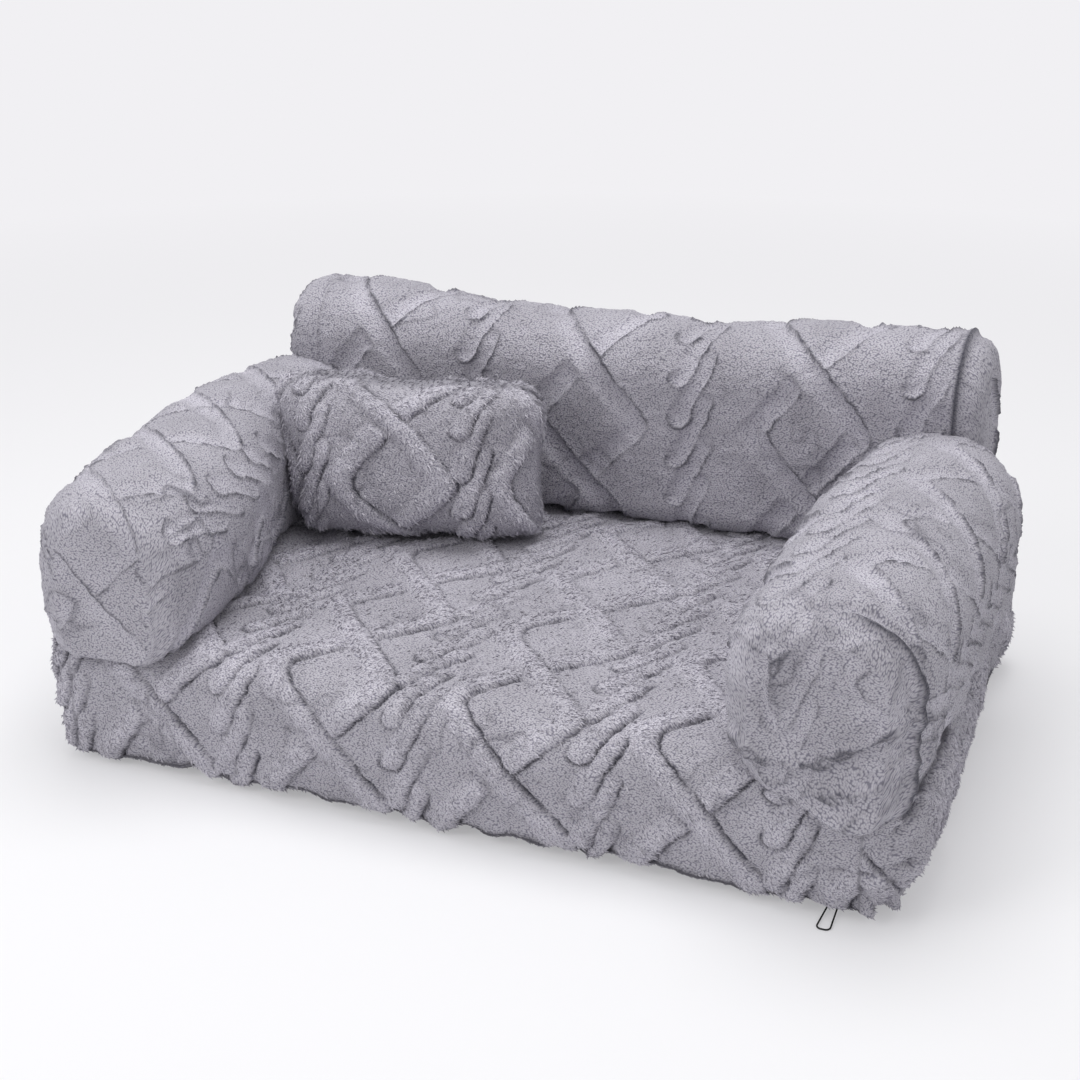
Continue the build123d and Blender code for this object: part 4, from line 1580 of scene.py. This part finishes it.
@dataclass
class Backrest(SoftPiece):
    """Stuffed backrest: a wrap along its length and a gusset on each end."""

    half_width: float = 396.0
    middle_x: float = -8.0
    front: float = 182.0
    thickness: float = 118.0
    foot: float = 142.6
    pile_stand: float = 3.0
    seam_at: float = 362.0
    roll: float = 2.0
    ring_length: float = 700.0
    spacing: float = 2.2
    relief: CableRelief = CableRelief(column=249.0, middle_u=-41.0)

    # Shares of the half width and of the thickness
    ROWS: ClassVar[np.ndarray] = np.array(
        [(0.0, 1.0), (0.8, 1.0), (0.896, 0.98), (0.95, 0.93), (0.982, 0.84), (1.0, 0.64)]
    )
    # Height of the ridge from left to right, sagging left of the middle
    RIDGE: ClassVar[np.ndarray] = np.array(
        [
            (-404.0, 330.0),
            (-397.0, 354.0),
            (-375.0, 364.0),
            (-320.0, 365.0),
            (-150.0, 356.0),
            (50.0, 358.0),
            (250.0, 374.0),
            (350.0, 378.0),
            (374.0, 372.0),
            (383.0, 362.0),
            (388.0, 343.0),
        ]
    )

    def rings(self) -> np.ndarray:
        """Shape the stuffed form from left to right.

        Returns:
            Rows of rings, closer together at the ends.
        """
        places = np.linspace(-1.0, 1.0, int(2 * self.half_width / self.spacing))
        close = np.linspace(0.985, 1, 6)
        places = np.unique(np.round(np.concatenate([places, close, -close]), 6))
        thick_shares = smooth_curve(np.abs(places), self.ROWS[:, 0], self.ROWS[:, 1])
        xs = self.middle_x + places * self.half_width
        ridge = smooth_curve(xs, self.RIDGE[:, 0], self.RIDGE[:, 1]) - self.pile_stand
        count = int(self.ring_length / self.spacing)
        middle = self.front + self.thickness / 2
        rings = []
        for x, thick, top in zip(xs, thick_shares, ridge):
            half = thick * self.thickness / 2
            near, far = middle - half, middle + half
            foot_radius, top_radius = 0.2 * (2 * half), 0.45 * (2 * half)
            corners = [(near, self.foot), (far, self.foot), (far, top), (near, top)]
            radii = [foot_radius, foot_radius, top_radius, top_radius]
            ring = rounded_ring(corners, radii, count, (middle, self.foot))[::-1]
            rings.append(np.column_stack([np.full(count, x), ring[:, 0], ring[:, 1]]))
        return np.array(rings)

    def build(self) -> None:
        """Make the backrest and its pile."""
        stack = self.rings()
        surface = tube_surface(stack, cloth_run(stack, 0))
        p = surface.points
        # The seam on the left shows less than the one on the right
        surface.seam = np.abs(np.abs(p[:, 0]) - self.seam_at) + 3.5 * (p[:, 0] < 0)
        surface.still = smooth_step(5.0, 0.0, p[:, 2] - self.foot) * 0.9
        nodes = ["backrest_cover", "backrest_left_end_panel", "backrest_right_end_panel", "backrest_filling"]
        p[:, 2] = np.maximum(p[:, 2], self.foot + 3.0)
        self.dress("backrest", surface, "sofa", nodes, 0.8, PileTufts(seed=13, comb=(0.9, -0.2, -0.5)))


@dataclass
class ScatterCushion(SoftPiece):
    """Loose cushion: two faces sewn round the edge, with full corners and sides that pull in."""

    width: float = 290.0
    height: float = 178.0
    thickness: float = 112.0
    pull_in: float = 8.0
    turn: float = 14.0
    lean: float = 9.0
    left: float = -324.0
    near: float = 15.0
    base: float = 144.5
    corner_round: float = 17.0
    corner_power: int = 5
    edge_power: int = 8
    splay: float = 15.0
    cloth_shift: float = 20.0
    sink: float = 1.5
    # Shallower seams, with fainter painted shade
    seam_depth: float = 1.5
    seam_groove_and_shade: float = 0.45
    bare_share: float = 0.3
    crumple: float = 0.5
    spacing: float = 2.0

    # Shares of the way to the edge and of the thickness
    FULLNESS: ClassVar[np.ndarray] = np.array(
        [(0.0, 1.0), (0.4, 0.98), (0.67, 0.88), (0.84, 0.7), (0.93, 0.5), (0.98, 0.28), (1.0, 0.0)]
    )

    def front_face(self, a: np.ndarray, b: np.ndarray) -> tuple[np.ndarray, np.ndarray]:
        """Shape the front face, lying flat, and lay its cloth round the edges.

        Args:
            a: Place across each point's row, from -1 to 1.
            b: Place up each point's column, from -1 to 1.

        Returns:
            Rows of points, and rows of two cloth coordinates, in millimetres.
        """
        power = self.edge_power
        x = a * (self.width / 2 - self.pull_in * (1 - b**2))
        x += self.splay * b * np.minimum(a, 0.0)
        y = b * (self.height / 2 - self.pull_in * (1 - a**2))
        corner = self.corner_round * np.abs(a * b) ** self.corner_power
        x -= corner * a
        y -= corner * b
        reach = (np.abs(a) ** power + np.abs(b) ** power) ** (1 / power)
        full = smooth_curve(np.clip(reach, 0.0, 1.0), self.FULLNESS[:, 0], self.FULLNESS[:, 1])
        z = full * self.thickness / 2
        drop = self.thickness / 2 - z
        upright = b**power / (a**power + b**power + TINY)
        cloth_x = x + np.sign(a) * drop * (1 - upright)
        cloth_y = y + np.sign(b) * drop * upright
        return np.column_stack([x, y, z]), np.column_stack([cloth_x, cloth_y])

    def stand(self, local: np.ndarray) -> np.ndarray:
        """Turn the lying cushion up, lean it back and put it in its corner of the seat.

        Args:
            local: Points of the lying cushion.

        Returns:
            The same points in place.
        """
        turn, lean = math.radians(self.turn), math.radians(self.lean)
        along = np.array([math.cos(turn), math.sin(turn), 0.0])
        across, back = -math.sin(turn) * math.sin(lean), math.cos(turn) * math.sin(lean)
        upward = np.array([across, back, math.cos(lean)])
        outward = np.cross(along, upward)
        corner = np.array([self.left, self.near, self.base])
        middle = corner + along * self.width / 2 + upward * self.height / 2
        return middle + local[:, :1] * along + local[:, 1:2] * upward + local[:, 2:] * outward

    def build(self) -> None:
        """Make the cushion and its pile."""
        nx = int(self.width / self.spacing)
        ny = int(self.height / self.spacing)
        grid_a, grid_b = np.meshgrid(np.linspace(-1, 1, nx + 1), np.linspace(-1, 1, ny + 1))
        grid_a, grid_b = grid_a.ravel(), grid_b.ravel()
        front, run = self.front_face(grid_a, grid_b)
        size = len(front)
        index = np.arange(size).reshape(ny + 1, nx + 1)
        inner = np.zeros((ny + 1, nx + 1), dtype=bool)
        inner[1:-1, 1:-1] = True
        back_index = index.copy()
        back_index[inner] = size + np.arange(int(inner.sum()))
        back = (front * (1.0, 1.0, -1.0))[inner.ravel()]
        faces: list[tuple[int, ...]] = []
        bake: list[tuple[float, float]] = []
        cloth: list[np.ndarray] = []
        for i in range(ny):
            for j in range(nx):
                corners = ((i, j), (i, j + 1), (i + 1, j + 1), (i + 1, j))
                for numbers, loop, low in ((index, corners, 0.01), (back_index, corners[::-1], 0.51)):
                    faces.append(tuple(int(numbers[c]) for c in loop))
                    for row, column in loop:
                        bake.append((0.01 + 0.98 * column / nx, low + 0.48 * row / ny))
                        cloth.append(run[index[row, column]])
        from_side = (1 - np.abs(grid_a)) * self.width / 2
        from_end = (1 - np.abs(grid_b)) * self.height / 2
        seam = np.minimum(from_side, from_end)
        surface = Surface(
            points=self.stand(np.concatenate([front, back])),
            faces=faces,
            cloth=np.concatenate([run, run[inner.ravel()]]) + self.cloth_shift,
            seam=np.concatenate([seam, seam[inner.ravel()]]),
            still=np.zeros(size + len(back)),
            corner_cloth=np.array(cloth),
            corner_bake=np.array(bake),
        )
        nodes = ["scatter_cushion_front", "scatter_cushion_back", "scatter_cushion_filling"]
        tufts = PileTufts(seed=21, length=4.8, comb=(0.7, 0.0, -0.7))
        self.dress("scatter_cushion", surface, "scatter_cushion", nodes, 0.85, tufts)


@dataclass
class Underside:
    """CAD pieces under the sofa, which only need their finishes."""

    finishes: dict[str, Finish] = field(
        default_factory=lambda: {
            "underside_panel": Finish.UNDERSIDE,
            "underside_strip": Finish.UNDERSIDE,
            "zip_inner_tape": Finish.TAPE,
            "zip_outer_tape": Finish.TAPE,
            "zip_inner_teeth": Finish.TEETH,
            "zip_outer_teeth": Finish.TEETH,
            "zip_inner_top_stop": Finish.METAL,
            "zip_outer_top_stop": Finish.METAL,
            "zip_bottom_stop": Finish.METAL,
            "zip_slider": Finish.METAL,
            "zip_pull": Finish.METAL,
        }
    )

    def build(self) -> None:
        """Give each carried-over piece its finish."""
        for node, finish in self.finishes.items():
            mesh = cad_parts[node].data
            mesh.materials.clear()
            mesh.materials.append(finish_material(finish))
            log.info("%s: %s", node, finish.value.name)


@dataclass(frozen=True)
class Lamp:
    """Square soft lamp: its place and size in metres, and its power in watts."""

    name: str
    place: tuple[float, float, float]
    size: float
    power: float


@dataclass
class Studio:
    """Plain pale floor, soft light and the photograph's camera, in metres."""

    eye: tuple[float, float, float] = (0.6838, -1.742, 0.9724)
    toward: tuple[float, float, float] = (-0.3443, 0.8553, -0.3872)
    focal_mm: float = 66.04
    sensor_mm: float = 36.0
    floor_colour: str = "#EDEDEF"
    backdrop_colour: str = "#F1F0F3"
    floor_reach: float = 8.0
    near_glow: float = 0.4
    glow_from: float = 0.8
    glow_to: float = 2.4
    world_strength: float = 0.5
    aim: tuple[float, float, float] = (0.0, 0.0, 0.15)

    LAMPS: ClassVar[tuple[Lamp, ...]] = (
        Lamp("key", (-1.6, -2.2, 1.9), 1.6, 30.0),
        Lamp("fill", (2.4, -1.6, 1.8), 2.2, 11.0),
        Lamp("top", (-0.1, 0.2, 2.7), 1.8, 46.0),
    )

    def build(self) -> None:
        """Make the camera, the floor, the lamps and the world."""
        self.camera()
        self.floor()
        self.lamps()
        world = bpy.data.worlds.new("studio")
        bpy.context.scene.world = world
        world.use_nodes = True
        background = world.node_tree.nodes["Background"]
        background.inputs["Color"].default_value = (1, 1, 1, 1)
        background.inputs["Strength"].default_value = self.world_strength
        bpy.context.scene.view_settings.view_transform = "Standard"

    def camera(self) -> None:
        """Put the camera where the photograph was taken from."""
        camera = bpy.data.objects.new("camera", bpy.data.cameras.new("camera"))
        camera.data.lens = self.focal_mm
        camera.data.sensor_width = self.sensor_mm
        camera.location = self.eye
        camera.rotation_euler = Vector(self.toward).to_track_quat("-Z", "Y").to_euler()
        bpy.context.scene.collection.objects.link(camera)
        bpy.context.scene.camera = camera

    def floor(self) -> None:
        """Make the floor, which keeps the shadows near the bed and fades to the pale backdrop."""
        mesh = bpy.data.meshes.new("floor")
        reach = self.floor_reach
        corners = [(-reach, -reach, 0), (reach, -reach, 0), (reach, reach, 0), (-reach, reach, 0)]
        mesh.from_pydata(corners, [], [(0, 1, 2, 3)])
        ground = bpy.data.objects.new("floor", mesh)
        bpy.context.scene.collection.objects.link(ground)
        paint, tree, shader = new_material("pale_painted_floor")
        shader.inputs["Base Color"].default_value = linear(self.floor_colour)
        shader.inputs["Roughness"].default_value = 0.7
        glow = add_node(
            tree, "ShaderNodeEmission", {"in:Color": linear(self.backdrop_colour)}
        ).outputs["Emission"]
        place = add_node(tree, "ShaderNodeTexCoord").outputs["Object"]
        away = add_node(tree, "ShaderNodeVectorMath", {"operation": "LENGTH"}, {0: place}).outputs["Value"]
        fade = add_node(
            tree,
            "ShaderNodeMapRange",
            {
                "in:From Min": self.glow_from,
                "in:From Max": self.glow_to,
                "in:To Min": self.near_glow,
                "in:To Max": 1.0,
            },
            {"Value": away},
        ).outputs["Result"]
        ray = add_node(tree, "ShaderNodeLightPath").outputs
        seen = add_node(
            tree,
            "ShaderNodeMath",
            {"operation": "MAXIMUM"},
            {0: ray["Is Camera Ray"], 1: ray["Is Glossy Ray"]},
        ).outputs[0]
        share = add_node(tree, "ShaderNodeMath", {"operation": "MULTIPLY"}, {0: fade, 1: seen}).outputs[0]
        mixed = add_node(
            tree, "ShaderNodeMixShader", {}, {0: share, 1: shader.outputs[0], 2: glow}
        ).outputs[0]
        tree.links.new(mixed, tree.nodes["Material Output"].inputs["Surface"])
        mesh.materials.append(paint)

    def lamps(self) -> None:
        """Hang the lamps, all turned to the middle of the bed."""
        for lamp in self.LAMPS:
            data = bpy.data.lights.new(lamp.name, "AREA")
            data.energy = lamp.power
            data.size = lamp.size
            thing = bpy.data.objects.new(lamp.name, data)
            thing.location = lamp.place
            down = Vector(self.aim) - Vector(lamp.place)
            thing.rotation_euler = down.to_track_quat("-Z", "Y").to_euler()
            bpy.context.scene.collection.objects.link(thing)


# Whole sofa

# Set folds as the camera sees them, in millimetres across and up: at the seat's front right corner
CORNER_FOLDS = (
    ((332.0, 28.0), (353.0, 46.0), (392.0, 55.0), (438.0, 66.0)),
    ((440.0, 126.0), (428.0, 104.0), (403.0, 80.0)),
)
# And on the front end of the right arm
ARM_FOLDS = (
    ((278.0, 164.0), (300.0, 152.0), (323.0, 150.0), (355.0, 158.0), (386.0, 175.0), (426.0, 204.0)),
    ((333.0, 140.0), (350.0, 131.0), (368.0, 129.0), (392.0, 134.0), (412.0, 147.0), (429.0, 168.0)),
    ((338.0, 268.0), (318.0, 252.0), (311.0, 228.0), (314.0, 205.0), (324.0, 186.0)),
)


def main() -> None:
    """Build every sub-assembly in order."""
    logging.basicConfig(level=logging.INFO, format="%(message)s")
    SeatCushion(folds=CORNER_FOLDS).build()
    BolsterArm(
        side=1,
        middle=353.0,
        width=182.0,
        tuck=2.0,
        seam_shows=1.0,
        lip=24.0,
        cap_calm=0.45,
        folds=ARM_FOLDS,
        relief=CableRelief(middle_u=53.0, middle_v=-97.0, row=112.0, height=5.0, groove=2.2),
    ).build()
    BolsterArm(
        side=-1,
        middle=357.0,
        width=190.0,
        top=293.0,
        dent=56.0,
        tuck=26.0,
        cap_calm=0.3,
        crumple=0.6,
        relief=CableRelief(middle_v=-107.0, row=120.0, height=4.2, groove=2.2),
    ).build()
    Backrest().build()
    ScatterCushion().build()
    Underside().build()
    Studio().build()


if __name__ == "__main__":
    main()
